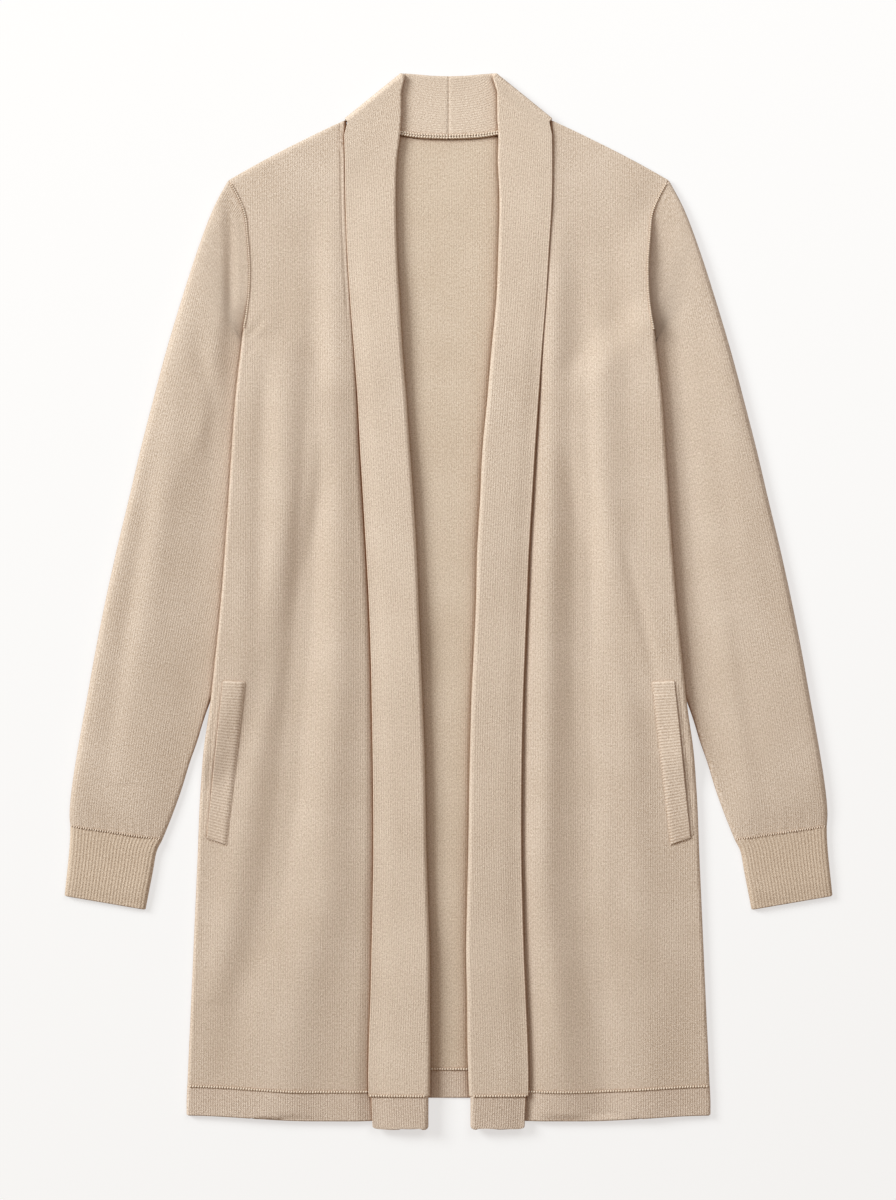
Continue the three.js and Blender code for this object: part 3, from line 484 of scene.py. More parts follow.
def stitch_rows(name, rows, pitch, long, wide):
    """Rows of stitches, each given as a path in millimetres with the lean of its stitches in degrees."""
    shape, shape_faces = one_stitch(long, wide)
    points, faces = [], []
    for line, lean in rows:
        run = run_along(line)
        at = np.arange(pitch / 2, run[-1], pitch)
        before, centre, after = (np.stack([np.interp(at + step, run, column) for column in line.T], -1)
                                 for step in (-0.5, 0, 0.5))
        ahead = unit(after - before)
        beside = np.stack([-ahead[:, 1], ahead[:, 0], np.zeros(len(at))], -1)
        turn = math.radians(lean)
        axis = ahead * math.cos(turn) + beside * math.sin(turn)
        width = beside * math.cos(turn) - ahead * math.sin(turn)
        for spot, a, b in zip(centre, axis, width):
            faces += [[len(points) * len(shape) + i for i in face] for face in shape_faces]
            points.append(spot + shape[:, :1] * a + shape[:, 1:2] * b + shape[:, 2:] * np.array([0, 0, 1]))
    print(name, "stitches", len(points))
    return riding_piece(name, np.concatenate(points), faces, linking_yarn)


def raised(line, by):
    return line + np.array([0, 0, by])


def hem_stitches(name, line, above):
    return stitch_rows(name, [(raised(line, above), HEM_LEAN)], *HEM_STITCH)


# %% [markdown]
# ## How high each layer lies
# The back lies on the table. Below the underarm the sleeves are tucked beneath it and lift its sides. The
# fronts lie on the back with some loft, more on a ridge and less in a trough. Each fold is a path down the
# panel with a height and a spread, placed where the picture shows light and shade.

# %% Lift of the body over the tucked sleeves
TUCKED_HEIGHT, BODY_OVER_SLEEVE, LIFT_PLATEAU, LIFT_FADE, TUCK_HALF = 4.1, 0.8, 12, 34, 260
FULL_LIFT = TUCKED_HEIGHT + BODY_OVER_SLEEVE
tucked = np.stack([SLEEVE["inner_half"], SLEEVE["inner_drop"]], 1)[:12]
tuck_outline = np.vstack([tucked, [TUCK_HALF, tucked[-1, 1]], [TUCK_HALF, tucked[0, 1]]])


def distance_outside(half, drop, outline):
    inside = np.zeros(np.shape(half), bool)
    nearest = np.full(np.shape(half), np.inf)
    for (ah, ad), (bh, bd) in zip(outline, np.roll(outline, -1, 0)):
        crosses = (ad > drop) != (bd > drop)
        crossing = ah + (drop - ad) / (bd - ad if bd != ad else 1e-9) * (bh - ah)
        inside ^= crosses & (half < crossing)
        t = np.clip(((half - ah) * (bh - ah) + (drop - ad) * (bd - ad)) / ((bh - ah)**2 + (bd - ad)**2), 0, 1)
        nearest = np.minimum(nearest, np.hypot(half - ah - t * (bh - ah), drop - ad - t * (bd - ad)))
    return np.where(inside, 0, nearest)


def sleeve_lift(half, drop):
    away = np.maximum(distance_outside(half, drop, tuck_outline) - LIFT_PLATEAU, 0)
    return FULL_LIFT * (1 - smooth(away, 0, LIFT_FADE))


print("the body is lifted", FULL_LIFT, "mm over the sleeves")

# %% Folds of the fronts, the sleeves and the back
# Each row is a place on the path of a fold: drop, half, rise and spread
FOLDS = {
    -1: [
    [[90, 108, 0.3, 14], [150, 102, 2.0, 14], [205, 101, 3.2, 14], [340, 97, 4.4, 15], [475, 98, 4.8, 16],
     [565, 101, 4.6, 17], [655, 107, 4.4, 18], [745, 112, 4.2, 20], [835, 135, 3.2, 24], [940, 152, 2, 26]],
    [[130, 122, -0.4, 11], [205, 121, -1.6, 11], [295, 123, -3.4, 12], [340, 124, -4.2, 12], [475, 130, -4.6, 13],
     [565, 139, -4.4, 14], [655, 145, -4.2, 15], [745, 160, -3.6, 16], [835, 187, -1.8, 15], [940, 210, -0.3, 12]],
    [[250, 164, 0, 8], [295, 166, -1.7, 8], [385, 169, -2.5, 9], [475, 171, -2.2, 9], [540, 180, 0, 8]],
    [[214, 162, 0, 3], [224, 168, -0.9, 3], [238, 178, -1.1, 3.4], [246, 183, 0, 3]],
    [[232, 160, 0, 3], [240, 168, -0.8, 3], [250, 178, -0.9, 3], [256, 182, 0, 3]],
    [[220, 146, 0.4, 13], [295, 146, 1.6, 12], [475, 150, 1.8, 11], [655, 178, 2.2, 13], [745, 192, 1.7, 14],
     [835, 212, 0.7, 12]]],
    1: [
    [[130, 100, 0.3, 9], [205, 97, 2.6, 10], [295, 94, 4, 11], [385, 92, 4.8, 11], [475, 90, 5.2, 12],
     [655, 88, 5, 12], [745, 88, 4.6, 13], [835, 97, 4, 14], [940, 105, 2.5, 16]],
    [[150, 119, -0.3, 11], [205, 120, -1.6, 11], [295, 120, -3.6, 12], [385, 120, -4.5, 12], [475, 121, -4.8, 12],
     [565, 119, -4.6, 12], [655, 124, -4.2, 13], [745, 122, -3.8, 13], [835, 133, -3.4, 14], [940, 141, -2, 15]],
    [[222, 156, 0, 3], [232, 164, -1, 3], [244, 176, -1.2, 3.4], [250, 182, 0, 3]],
    [[240, 158, 0, 3], [248, 166, -0.8, 3], [256, 176, -0.9, 3], [262, 181, 0, 3]],
    [[200, 140, 0.3, 14], [295, 140, 2, 14], [385, 142, 3, 14], [475, 147, 3.2, 14], [565, 160, 3.2, 15],
     [655, 167, 2.8, 16], [780, 172, 2, 18], [940, 180, 1.2, 20]],
    [[415, 156, 0, 6], [450, 163, -1.8, 6], [485, 172, -2.6, 7], [520, 180, -2.6, 6], [560, 189, -0.5, 6]]]}
SLEEVE_FOLDS = {
    -1: [
    [[98, 196, 0, 6], [118, 195, -2.2, 6], [160, 194, -4.6, 6.5], [205, 194, -4.4, 6.5], [250, 190, -2.4, 7],
     [285, 188, 0, 7]],
    [[215, 228, 0, 8], [260, 222, -1.4, 9], [295, 211, -2.2, 9], [385, 213, -2.2, 9], [480, 226, -0.8, 9]],
    [[180, 216, 0, 12], [260, 240, 1.2, 13], [380, 256, 1.8, 15], [520, 276, 1.4, 16], [640, 292, 0.4, 14]],
    [[330, 262, 0, 8], [420, 276, -1.4, 9], [520, 292, -1.5, 9], [620, 306, -0.5, 9], [665, 312, 0, 8]]],
    1: [
    [[150, 214, 0, 8], [205, 224, -1, 9], [250, 228, -1.4, 10], [385, 243, -1.5, 11], [480, 254, -0.5, 10]],
    [[180, 226, 0, 10], [290, 252, 1, 11], [420, 270, 1.2, 13], [560, 294, 0.8, 15], [640, 302, 0.2, 14]],
    [[400, 236, 0, 8], [480, 252, -0.9, 9], [580, 270, -1, 9], [660, 288, -0.4, 8], [690, 292, 0, 7]]]}
for folds in (FOLDS, SLEEVE_FOLDS):
    for side in folds:
        folds[side] = [table("drop half rise spread", rows) for rows in folds[side]]


def fold_rise(folds, half, drop):
    """Sum of the folds at each place: soft ridges and troughs across their own paths."""
    total = np.zeros(np.broadcast(half, drop).shape)
    for rows in folds:
        within = (drop >= rows["drop"][0]) & (drop <= rows["drop"][-1])
        away = (half - curve(rows, "drop", "half", drop)) / curve(rows, "drop", "spread", drop)
        total += np.where(within, curve(rows, "drop", "rise", drop) * np.exp(-away**2), 0)
    return total


def unevenness(half, drop, size):
    """Slow waves of different lengths and leans, as cloth that was smoothed out by hand keeps."""
    waves = (np.sin(half / 13.0 + drop / 71.0 + 0.4) + 0.8 * np.sin(half / 21.0 - drop / 47.0 + 1.9)
             + 0.6 * np.sin(half / 8.5 + drop / 33.0 + 2.7) + 0.7 * np.sin(drop / 24.0 - half / 37.0))
    return size * waves / 3.1


print("folds on the fronts:", len(FOLDS[-1]), "and", len(FOLDS[1]))

# %% Height of a front panel's middle
FRONT_LOFT, LAP, ARMHOLE_FADE = 3.0, 7, 34
SIDE_LOFT = {
    -1: table("drop loft", [[97, 1.9], [200, 2.2], [400, 2.4], [600, 2], [940, 1.7]]),
    1: table("drop loft", [[97, 1.9], [125, 2.4], [165, 6.4], [225, 6.4], [260, 5.2], [430, 5.2], [560, 4],
                           [650, 2.8], [940, 2]])}
CREVICE_TO = table("drop left right", [[40, 9.4, 9.4], [230, 10, 10], [330, 13, 14], [500, 14, 16], [700, 16, 19],
                                       [850, 20, 23], [950, 22, 25]])
GROOVE_AT, GROOVE_DEPTH, GROOVE_SPREAD = 4.3, 0.9, 1.1
LEAST_GAP, SLOPE_GAP, SHOULDER_ROLL, NECK_ROLL, EDGE_ROLL, EDGE_FOOT = 0.35, 1.1, 5.5, 2.4, 2.0, 0.9
FOLD_SHARE, CALM_EDGE, WAVE_SIZE, GROOVE_ENDS = 0.88, (2, 30), 0.55, (190, 270)


def soft_floor(x, low):
    """Keeps x above a low limit with a round passage in place of a sharp one."""
    return low + 0.5 * np.logaddexp(0, (x - low) / 0.5)


def front_height(side, half, drop):
    from_band = half - (band_edge(side, "seam", drop) - LAP)
    from_side = side_half(drop) - half
    loft = lerp(curve(SIDE_LOFT[side], "drop", "loft", drop), FRONT_LOFT, smooth(from_side, 0, ARMHOLE_FADE))
    dip = smooth(from_band, LAP * 0.6, curve(CREVICE_TO, "drop", WORD[side], drop))
    lift = sleeve_lift(half, drop)
    lifted = lift / FULL_LIFT
    least = LEAST_GAP + SLOPE_GAP * 4 * lifted * (1 - lifted)
    waves = unevenness(side * half, drop, WAVE_SIZE) * smooth(from_side, *CALM_EDGE)
    gap = (loft + FOLD_SHARE * fold_rise(FOLDS[side], half, drop) + waves) * dip
    groove = np.exp(-((from_band - LAP - GROOVE_AT) / GROOVE_SPREAD)**2) * (1 - smooth(drop, *GROOVE_ENDS))
    gap = gap - GROOVE_DEPTH * groove * (side < 0)
    return BACK_WALL + soft_floor(gap, least) + FRONT_WALL / 2 + lift


def quarter_round(distance, radius):
    t = np.clip(distance / radius, 0, 1)
    return np.sqrt(1 - (1 - t)**2)


def shoulder_drop(half):
    t = np.clip((half - NECK_POINT_HALF) / (SHOULDER_TIP_HALF - NECK_POINT_HALF), 0, 1)
    return NECK_POINT + SHOULDER_FALL * (half - NECK_POINT_HALF) - SHOULDER_BOW * 4 * t * (1 - t)


SHOULDER_FALL = (SHOULDER_TIP - NECK_POINT) / (SHOULDER_TIP_HALF - NECK_POINT_HALF)
SHOULDER_SLANT = math.hypot(1, SHOULDER_FALL)
print("front height at mid chest:", np.round(front_height(-1, np.array([112.0, 131.0, 170.0]), 350.0), 1))

# %% [markdown]
# ## The back
# One panel of knit. Only its inside shows, between the bands, but it is made whole.

# %% Back and back hem
SIDE_INSET, SEAM_GAP, BACK_TOP_HALF, BACK_TOP, TIP_SLANT = 3.7, 0.3, 192, 98, 0.6
BACK_HEM_SEAM, BACK_HEM_BOTTOM, BACK_FALL, BACK_FADE = 897, 922, 13, 210
NECK = table("half drop", [[0, 60.8], [30, 59.4], [60, 54], [84, 48.4], [94, 48.2]])
GRID = 4.0


def back_half(drop):
    inset = lerp(SEAM_GAP, SIDE_INSET, smooth(drop, UNDERARM - 6, UNDERARM + 12))
    return np.minimum(side_half(drop) - inset, BACK_TOP_HALF + (drop - BACK_TOP) * TIP_SLANT)


def back_bottom(half, drop):
    return drop + BACK_FALL * smooth(half, 60, 200)


across = np.linspace(-1, 1, 111)
share = np.abs(across)
top_half = share * BACK_TOP_HALF
top_drop = np.where(top_half <= 94, curve(NECK, "half", "drop", np.minimum(top_half, 94)),
                    np.minimum(shoulder_drop(top_half) + SIDE_INSET * SHOULDER_SLANT, BACK_TOP))
drops = np.arange(BACK_TOP, 850, GRID)[:, None]
half = share * back_half(drops)
drop = drops + (top_drop - BACK_TOP) * (1 - smooth(drops, BACK_TOP, BACK_TOP + BACK_FADE))
end = share * (side_half(BACK_HEM_SEAM) - SIDE_INSET)
settle = np.linspace(0, 1, 12)[1:, None]
half = np.vstack([half, lerp(half[-1], end, settle)])
drop = np.vstack([drop, lerp(drop[-1], back_bottom(end, BACK_HEM_SEAM), settle)])
half, drop = finer_ends(half), finer_ends(drop)
sign = np.where(across < 0, -1, 1)
back_mid = place(sign, half, drop, BACK_WALL / 2 + sleeve_lift(half, drop))
back_cut = np.stack([half * sign, drop], -1)
back = cloth("back_panel", "back", back_mid, back_cut, BACK_WALL, wool["inside"])
between_bands = np.abs(back_mid[-1, :, 0]) < 74
back_stitches = hem_stitches("back_hem_linking", back_mid[-1][between_bands], 1.3)

levels = finer_ends(np.linspace(BACK_HEM_SEAM + SEAM_GAP, BACK_HEM_BOTTOM, 8))[:, None]
half = share * (side_half(levels) - SIDE_INSET)
drop = back_bottom(half, levels)
hem_mid = place(sign, half, drop, HEM_WALL / 2)
back_hem = cloth("back_hem_band", "back_hem", hem_mid, np.stack([half * sign, drop], -1), HEM_WALL, wool["hem"])

# %% [markdown]
# ## The fronts
# Each front runs from under the band to the armhole and the side. Its side edge rounds down over the back,
# and its shoulder edge does the same, because the cloth turns there.

# %% Front panels and their hems
ROWS_LEVEL_FROM, FRONT_SEAM, FRONT_SEAM_DIP, HEM_DEPTH = 300, 912, 5, 25.5
EDGE_COLUMNS = np.array([0, 0.12, 0.35, 0.7, 1.2, 2.0, 3.2, 5.0, 7.0])
BAND_SIDE_REACH, LEAST_LAP = 20, 0.8
BAND_SIDE_COLUMNS = np.linspace(-BAND_SIDE_REACH, 0, 19)[1:]


def seam_fall(half):
    return FRONT_SEAM_DIP * (1 - smooth(half, 120, 235))


def front_grid(side, drops, hem=0.0, thickness=FRONT_WALL):
    drops = drops[:, None]
    t = np.clip((drops - SHOULDER_TIP) / (ROWS_LEVEL_FROM - SHOULDER_TIP), 0, 1)
    inner_drop = drops - (SHOULDER_TIP - NECK_POINT) * (1 - t)
    lap = lerp(LEAST_LAP, LAP, smooth(inner_drop, NECK_POINT + 4, NECK_POINT + 26))
    inner_half = band_edge(side, "seam", inner_drop) - lap
    outer_half = side_half(drops) - FRONT_WALL / 2
    width = np.hypot(outer_half - inner_half, drops - inner_drop)
    across = lerp(EDGE_COLUMNS[-1], width - BAND_SIDE_REACH, np.linspace(0, 1, 34)[1:])
    inset = np.concatenate([EDGE_COLUMNS + 0 * width, across, width + BAND_SIDE_COLUMNS], 1)
    t = inset / width
    half = lerp(outer_half, inner_half, t)
    bow = 4 * SHOULDER_BOW * t * (1 - t) * (1 - smooth(drops, SHOULDER_TIP, ROWS_LEVEL_FROM))
    drop = lerp(drops, inner_drop, t) - bow + hem * seam_fall(half)
    wrapped = smooth(drops, UNDERARM - 4, UNDERARM + 14)
    shoulder = (drop - shoulder_drop(half)) / SHOULDER_SLANT
    roll = lerp(NECK_ROLL, SHOULDER_ROLL, smooth(half, 96, 125))
    rounded = np.minimum(lerp(1, quarter_round(inset, EDGE_ROLL), wrapped), quarter_round(shoulder, roll))
    foot = EDGE_FOOT + sleeve_lift(half, drop)
    height = lerp(foot, front_height(side, half, drop) + (thickness - FRONT_WALL) / 2, rounded)
    return half, drop, height


fronts, front_hems, front_stitches, armhole_stitches = {}, {}, {}, {}
for side, word in WORD.items():
    insets = FRONT_WALL / 2 + np.array([0, 0.5, 1.3, 2.4, 3.9, 5.8, 8.2])
    drops = np.concatenate([SHOULDER_TIP + insets * SHOULDER_SLANT, np.arange(110, FRONT_SEAM - 6, GRID)])
    drops = finer_ends(np.append(drops, FRONT_SEAM))
    half, drop, height = front_grid(side, drops)
    ending = smooth(drops, FRONT_SEAM - 60, FRONT_SEAM)[:, None]
    drop = drop + ending * seam_fall(half)
    mid, cut = laid(side, half, drop, height)
    fronts[side] = cloth(f"front_{word}_panel", f"front_{word}", mid, cut, FRONT_WALL, wool["jersey"])
    from_centre = np.abs(mid[-1, :, 0])
    shown = (from_centre > band_edge(side, "seam", FRONT_SEAM) - 3) & (from_centre < side_half(FRONT_SEAM) - 2)
    front_stitches[side] = hem_stitches(f"front_{word}_hem_linking", mid[-1][shown], 1.2)
    seam_drop = np.linspace(SHOULDER_TIP + 4, UNDERARM - 5, 80)
    seam = side_half(seam_drop) - 0.5
    seam_line = place(side, seam, seam_drop, front_height(side, seam, seam_drop) + FRONT_WALL / 2)
    armhole_stitches[side] = stitch_rows(f"armhole_{word}_linking", [(seam_line, ARMHOLE_LEAN)], *ARMHOLE_STITCH)
    levels = FRONT_SEAM + finer_ends(np.linspace(SEAM_GAP, HEM_DEPTH, 8))
    half, drop, height = front_grid(side, levels, 1.0, HEM_WALL)
    mid, cut = laid(side, half, drop, height)
    front_hems[side] = cloth(f"front_{word}_hem_band", f"front_{word}_hem", mid, cut, HEM_WALL, wool["hem"])

# %% [markdown]
# ## Sleeves and cuffs
# A sleeve that lies flat is a tube pressed together: a lower layer on the table, an upper layer with some
# air under it, and a round fold at each long edge. The cuff is the same tube in rib.


# %% Flattened tubes
ARC_CELLS = 6


def refine(grid, factor):
    """More rows between the rows of a coarse grid, on smooth curves."""
    count = len(grid)
    at = np.linspace(0, count - 1, (count - 1) * factor + 1)
    i = np.minimum(at.astype(int), count - 2)
    t = (at - i)[:, None, None]
    a, b = grid[i], grid[i + 1]
    before, after = grid[np.maximum(i - 1, 0)], grid[np.minimum(i + 2, count - 1)]
    return hermite(a, b, (b - before) / 2, (after - a) / 2, t)


def whole_cut(across, along):
    return np.stack([across, np.broadcast_to(along[:, None], across.shape)], -1)


def tube_ring(side, row, height_at, wall, top_cells, under_cells):
    """A ring of a flattened tube: over the top from the outer edge, round, back underneath, and round again."""
    run = run_along(row)

    def at(t):
        return np.stack([np.interp(t, run / run[-1], column) for column in row.T], -1)

    def long_edge(end, angles):
        near = at(end)
        tall = height_at(*near)
        radius = (tall - wall) / 2
        inset = wall / 2 + radius * (1 - np.sin(angles))
        spots = near + unit(at(abs(end - 0.05)) - near) * inset[:, None]
        return tall / 2 / run[-1], place(side, *spots.T, tall / 2 + radius * np.cos(angles))

    angles = np.linspace(0, math.pi, ARC_CELLS + 1)[1:-1]
    (low, outer_arc), (high, inner_arc) = long_edge(0, angles[::-1]), long_edge(1, angles)
    top, under = at(np.linspace(low, 1 - high, top_cells + 1)), at(np.linspace(1 - high, low, under_cells + 1))
    return np.concatenate([place(side, *top.T, height_at(*top.T) - wall / 2), inner_arc,
                           place(side, *under.T, wall / 2), outer_arc])


def tube_rings(side, plan, *how):
    rings = np.array([tube_ring(side, row, *how) for row in plan])
    around = run_along(np.concatenate([rings, rings[:, :1]], 1))
    return to_right(side, rings, whole_cut(around, run_along(plan.mean(1))))


def sections_plan(rows, samples):
    ends = np.stack(list(rows.values()), -1).reshape(-1, 2, 2)
    return lerp(ends[:, :1], ends[:, 1:], np.linspace(0, 1, samples)[:, None])


print("cells round each long edge of a tube:", ARC_CELLS)

# %% Sleeves
HEAD_HEIGHT, LOOSE_HEIGHT, HEAD_TUCK, HEAD_TUCK_HEIGHT = 5.6, 8.8, 2.2, 3.1
SINK_FROM = {-1: UNDERARM - 34, 1: 112}
LOOSE_RANGE = {-1: (4, 26), 1: (15, 48)}
SLEEVE_FOLD_SHARE = {-1: 1, 1: 0.6}
FLATTER_FROM, FLATTER_REACH = 300, 34
GATHER_DEPTH, GATHER_REACH, EDGE_SAG, EDGE_SAG_REACH = 0.16, 22, 0.34, 13
CUFF_SEAM, CUFF_OUTER, CUFF_SLANT, SETTLE_DEPTH, SETTLE_REACH = 684, 340, 0.15, 0.28, 26


def edge_sag(rows, half, drop, reach):
    """1 in the middle of a flattened tube and less towards its long edges, where the upper layer rounds down."""
    from_outer = curve(rows, "outer_drop", "outer_half", drop) - half
    from_inner = half - curve(rows, "inner_drop", "inner_half", drop)
    return 1 - EDGE_SAG * (1 - quarter_round(np.minimum(from_outer, from_inner), reach))


def sleeve_height(side, half, drop):
    outside = half - side_half(np.clip(drop, SHOULDER_TIP, 930))
    low = lerp(HEAD_HEIGHT, TUCKED_HEIGHT, smooth(drop, SINK_FROM[side], SINK_FROM[side] + 40))
    settled = smooth(drop, SINK_FROM[side], UNDERARM - 20)
    flatter = FLATTER_REACH * (side < 0) * smooth(drop, FLATTER_FROM, FLATTER_FROM + 90)
    loose = smooth(outside, LOOSE_RANGE[side][0] * settled, LOOSE_RANGE[side][1] + flatter)
    folds = fold_rise(SLEEVE_FOLDS[side], half, drop) + unevenness(side * half + 90, drop, 0.6)
    folds = folds * SLEEVE_FOLD_SHARE[side]
    from_cuff = CUFF_SEAM + (CUFF_OUTER - half) * CUFF_SLANT - drop
    gathers = GATHER_DEPTH * np.sin(half / 1.45 + 2.5 * np.sin(half / 9.0)) * np.exp(-(from_cuff / GATHER_REACH)**2)
    settle = 1 - SETTLE_DEPTH * np.exp(-(from_cuff / SETTLE_REACH)**2)
    edge = smooth(outside, 1, 16)
    height = lerp(low, LOOSE_HEIGHT * settle, loose) + (folds + gathers) * loose * edge
    return np.maximum(height * lerp(1, edge_sag(SLEEVE, half, drop, EDGE_SAG_REACH), loose), low * 0.9)


sleeves, cuff_stitches = {}, {}
for side, word in WORD.items():
    head_drop = np.linspace(SHOULDER_TIP + 1.5, UNDERARM + 2, 41)
    head = np.stack([side_half(head_drop) + SEAM_GAP + 0.5, head_drop], -1)
    plan = finer_ends(refine(np.concatenate([head[None], sections_plan(SLEEVE, 41)]), 12))
    height = lambda half, drop, side=side: sleeve_height(side, half, drop)
    rings, cuts = tube_rings(side, plan, height, SLEEVE_WALL, 44, 24)
    upper = rings[0, :, 2] > HEAD_HEIGHT / 2
    rings[0, upper, 0] -= side * HEAD_TUCK
    rings[0, upper, 2] = HEAD_TUCK_HEIGHT
    sleeves[side] = cloth(f"sleeve_{word}_tube", f"sleeve_{word}", rings, cuts, SLEEVE_WALL, wool["jersey"], True)
    top = rings[-1][rings[-1, :, 2] > 3]
    top = top[np.argsort(top[:, 0])]
    line = raised(top, SLEEVE_WALL / 2 + 0.25)
    cuff_stitches[side] = stitch_rows(f"cuff_{word}_linking", [(line, CUFF_LEAN)], *CUFF_STITCH)

# %% Cuffs in rib
CUFF_RIBS, RIB_RISE, CUFF_HEIGHT, POINTS_PER_RIB = 25, 0.45, 6.4, 6
END_SINK, END_SLANT, END_DROPS = 1.2, 0.18, (724, 744)


def cuff_height(half, drop):
    sink = END_SINK * smooth(drop + (half - CUFF_OUTER) * END_SLANT, *END_DROPS)
    return CUFF_HEIGHT * edge_sag(CUFF, half, drop, 9) - sink


for side, word in WORD.items():
    plan = finer_ends(refine(sections_plan(CUFF, 9), 7))
    top_cells = CUFF_RIBS * POINTS_PER_RIB
    rings, cuts = tube_rings(side, plan, cuff_height, CUFF_WALL, top_cells, 40)
    around = np.arange(rings.shape[1] + 1)
    around = around if side < 0 else around[-2] - around
    rib = 0.5 - 0.5 * np.cos(2 * math.pi * around[:-1] / POINTS_PER_RIB)
    relief = np.where(around[:-1] <= top_cells, RIB_RISE * rib**0.8, 0)
    cuts[:, :, 0] = around * CUFF_RIB_MM / POINTS_PER_RIB
    cloth(f"cuff_{word}_rib", f"cuff_{word}", rings, cuts, CUFF_WALL, wool["rib"], True, relief)

# %% [markdown]
# ## The front band and half collar
# The band is one long strip folded in two lengthways. It runs up the front with its fold on the open edge,
# turns over the shoulder in a tight fold, and crosses behind the neck to meet its pair at centre back.

# %% Middle surface of the band
PRESSED_GAP, LOFTY_GAP, BAND_OVER_BACK, BAND_OVER_FRONT, FOLD_RADIUS = 1.15, 2.7, 2.9, 0.9, 2.7
LONG_WAVE, LONG_RISE, SHORT_WAVE, SHORT_RISE = 57, 0.7, 23, 0.45
BAND_HEM_SEAM, BAND_HEM_FALL, HEM_CORNER, HEM_STEP = 920, 29.5, 2.6, 1.2
STRIP_CELLS, UNDER_CELLS, ROLL_CELLS = 14, 10, 8
FOLD_SEAM_END, FOLD_ROLL_END, UNDER_ROLL_END = np.array([93, 42.0]), np.array([42.5, 1.0]), np.array([37.4, 2.0])
TURNING = table("step seam roll", [[0, 130, 130], [1, 108, 97], [2, 88, 66], [3, 71, 39], [4, 57, 18]])
BEHIND = table("step seam_half seam_drop roll_half roll_drop", [
    [0, 87, 46.5, 37.4, 2], [1, 84, 47.8, 35, 2.1], [2, 60, 53.5, 28, 2.5], [3, 30, 59, 15, 3.6],
    [4, 0.2, 60.5, 0.2, 4]])


def band_front_rows(side, seam_drop, roll_drop):
    loft = smooth(roll_drop, 60, 260)
    gap = lerp(PRESSED_GAP, LOFTY_GAP, loft)
    settled = smooth(seam_drop, 57, 108)
    pressed = BAND_WALL / 2 + PRESSED_GAP + 2 * FOLD_RADIUS
    over_front = BACK_WALL + FRONT_WALL + BAND_OVER_FRONT + BAND_WALL / 2 + PRESSED_GAP
    over_back = BACK_WALL + BAND_OVER_BACK + BAND_WALL / 2 + gap
    wave = LONG_RISE * np.sin(roll_drop / LONG_WAVE + side) + SHORT_RISE * np.sin(roll_drop / SHORT_WAVE + 2 * side)
    over_back = over_back + loft * wave
    return np.stack([
        band_edge(side, "seam", seam_drop), seam_drop, band_edge(side, "roll", roll_drop), roll_drop,
        lerp(pressed, over_front, settled), lerp(pressed, over_back, settled), gap], -1)


def band_rows(side):
    level = finer_ends(np.arange(BAND_HEM_SEAM, 130, -GRID))
    step = np.linspace(0, 4, 17)
    front = band_front_rows(side, level, level)
    turning = band_front_rows(side, curve(TURNING, "step", "seam", step), curve(TURNING, "step", "roll", step))
    line = FOLD_SEAM_END - FOLD_ROLL_END
    inwards = np.array([-line[1], line[0]]) / np.hypot(*line)
    angle = np.radians(np.arange(0, 181, 15))[:, None]
    inset = FOLD_RADIUS * (1 - np.sin(angle)) + PRESSED_GAP + BAND_WALL / 2
    height = BAND_WALL / 2 + PRESSED_GAP + FOLD_RADIUS * (1 + np.cos(angle))
    roll_end = lerp(FOLD_ROLL_END + inwards * inset, UNDER_ROLL_END, smooth(angle, math.pi / 3, math.pi))
    hairpin = np.concatenate([FOLD_SEAM_END + inwards * inset, roll_end, height, height,
                              np.full_like(height, PRESSED_GAP)], 1)
    step = np.linspace(0, 4, 33)[2:]
    flat = np.full_like(step, BAND_WALL / 2 + PRESSED_GAP)
    behind = np.stack([curve(BEHIND, "step", name, step) for name in list(BEHIND)[1:]]
                      + [flat, flat, np.full_like(step, PRESSED_GAP)], -1)
    return np.concatenate([front, turning, hairpin, behind])


def doubled_strip(side, rows):
    """Two layers round the middle surface of the strip, joined by a round roll at the open edge."""
    seam_half, seam_drop, roll_half, roll_drop, seam_height, roll_height, gap = rows.T[..., None]
    t = finer_ends(np.linspace(0, 1, STRIP_CELLS + 1))[None]
    reach = t * (1 - (gap + BAND_WALL / 2) / np.hypot(seam_half - roll_half, seam_drop - roll_drop))
    middle = place(side, lerp(seam_half, roll_half, reach), lerp(seam_drop, roll_drop, reach),
                   lerp(seam_height, roll_height, smooth(t, 0, 1)))
    normals = unit(-side * np.cross(np.gradient(middle, axis=1), np.gradient(middle, axis=0)))
    spread = normals * lerp(PRESSED_GAP, gap, smooth(t, 0, 0.4))[..., None]
    keep = np.round(np.linspace(0, t.size - 1, UNDER_CELLS + 1)).astype(int)[::-1]
    outwards = unit(middle[:, -1:] - middle[:, -2:-1])
    angle = np.linspace(0, math.pi, ROLL_CELLS + 1)[1:-1][None, :, None]
    roll = middle[:, -1:] + gap[..., None] * (normals[:, -1:] * np.cos(angle) + outwards * np.sin(angle))
    strip = np.concatenate([middle + spread, roll, (middle - spread)[:, keep]], 1)[::-1]
    return to_right(side, strip, whole_cut(run_along(strip), run_along(middle[::-1].mean(1))))


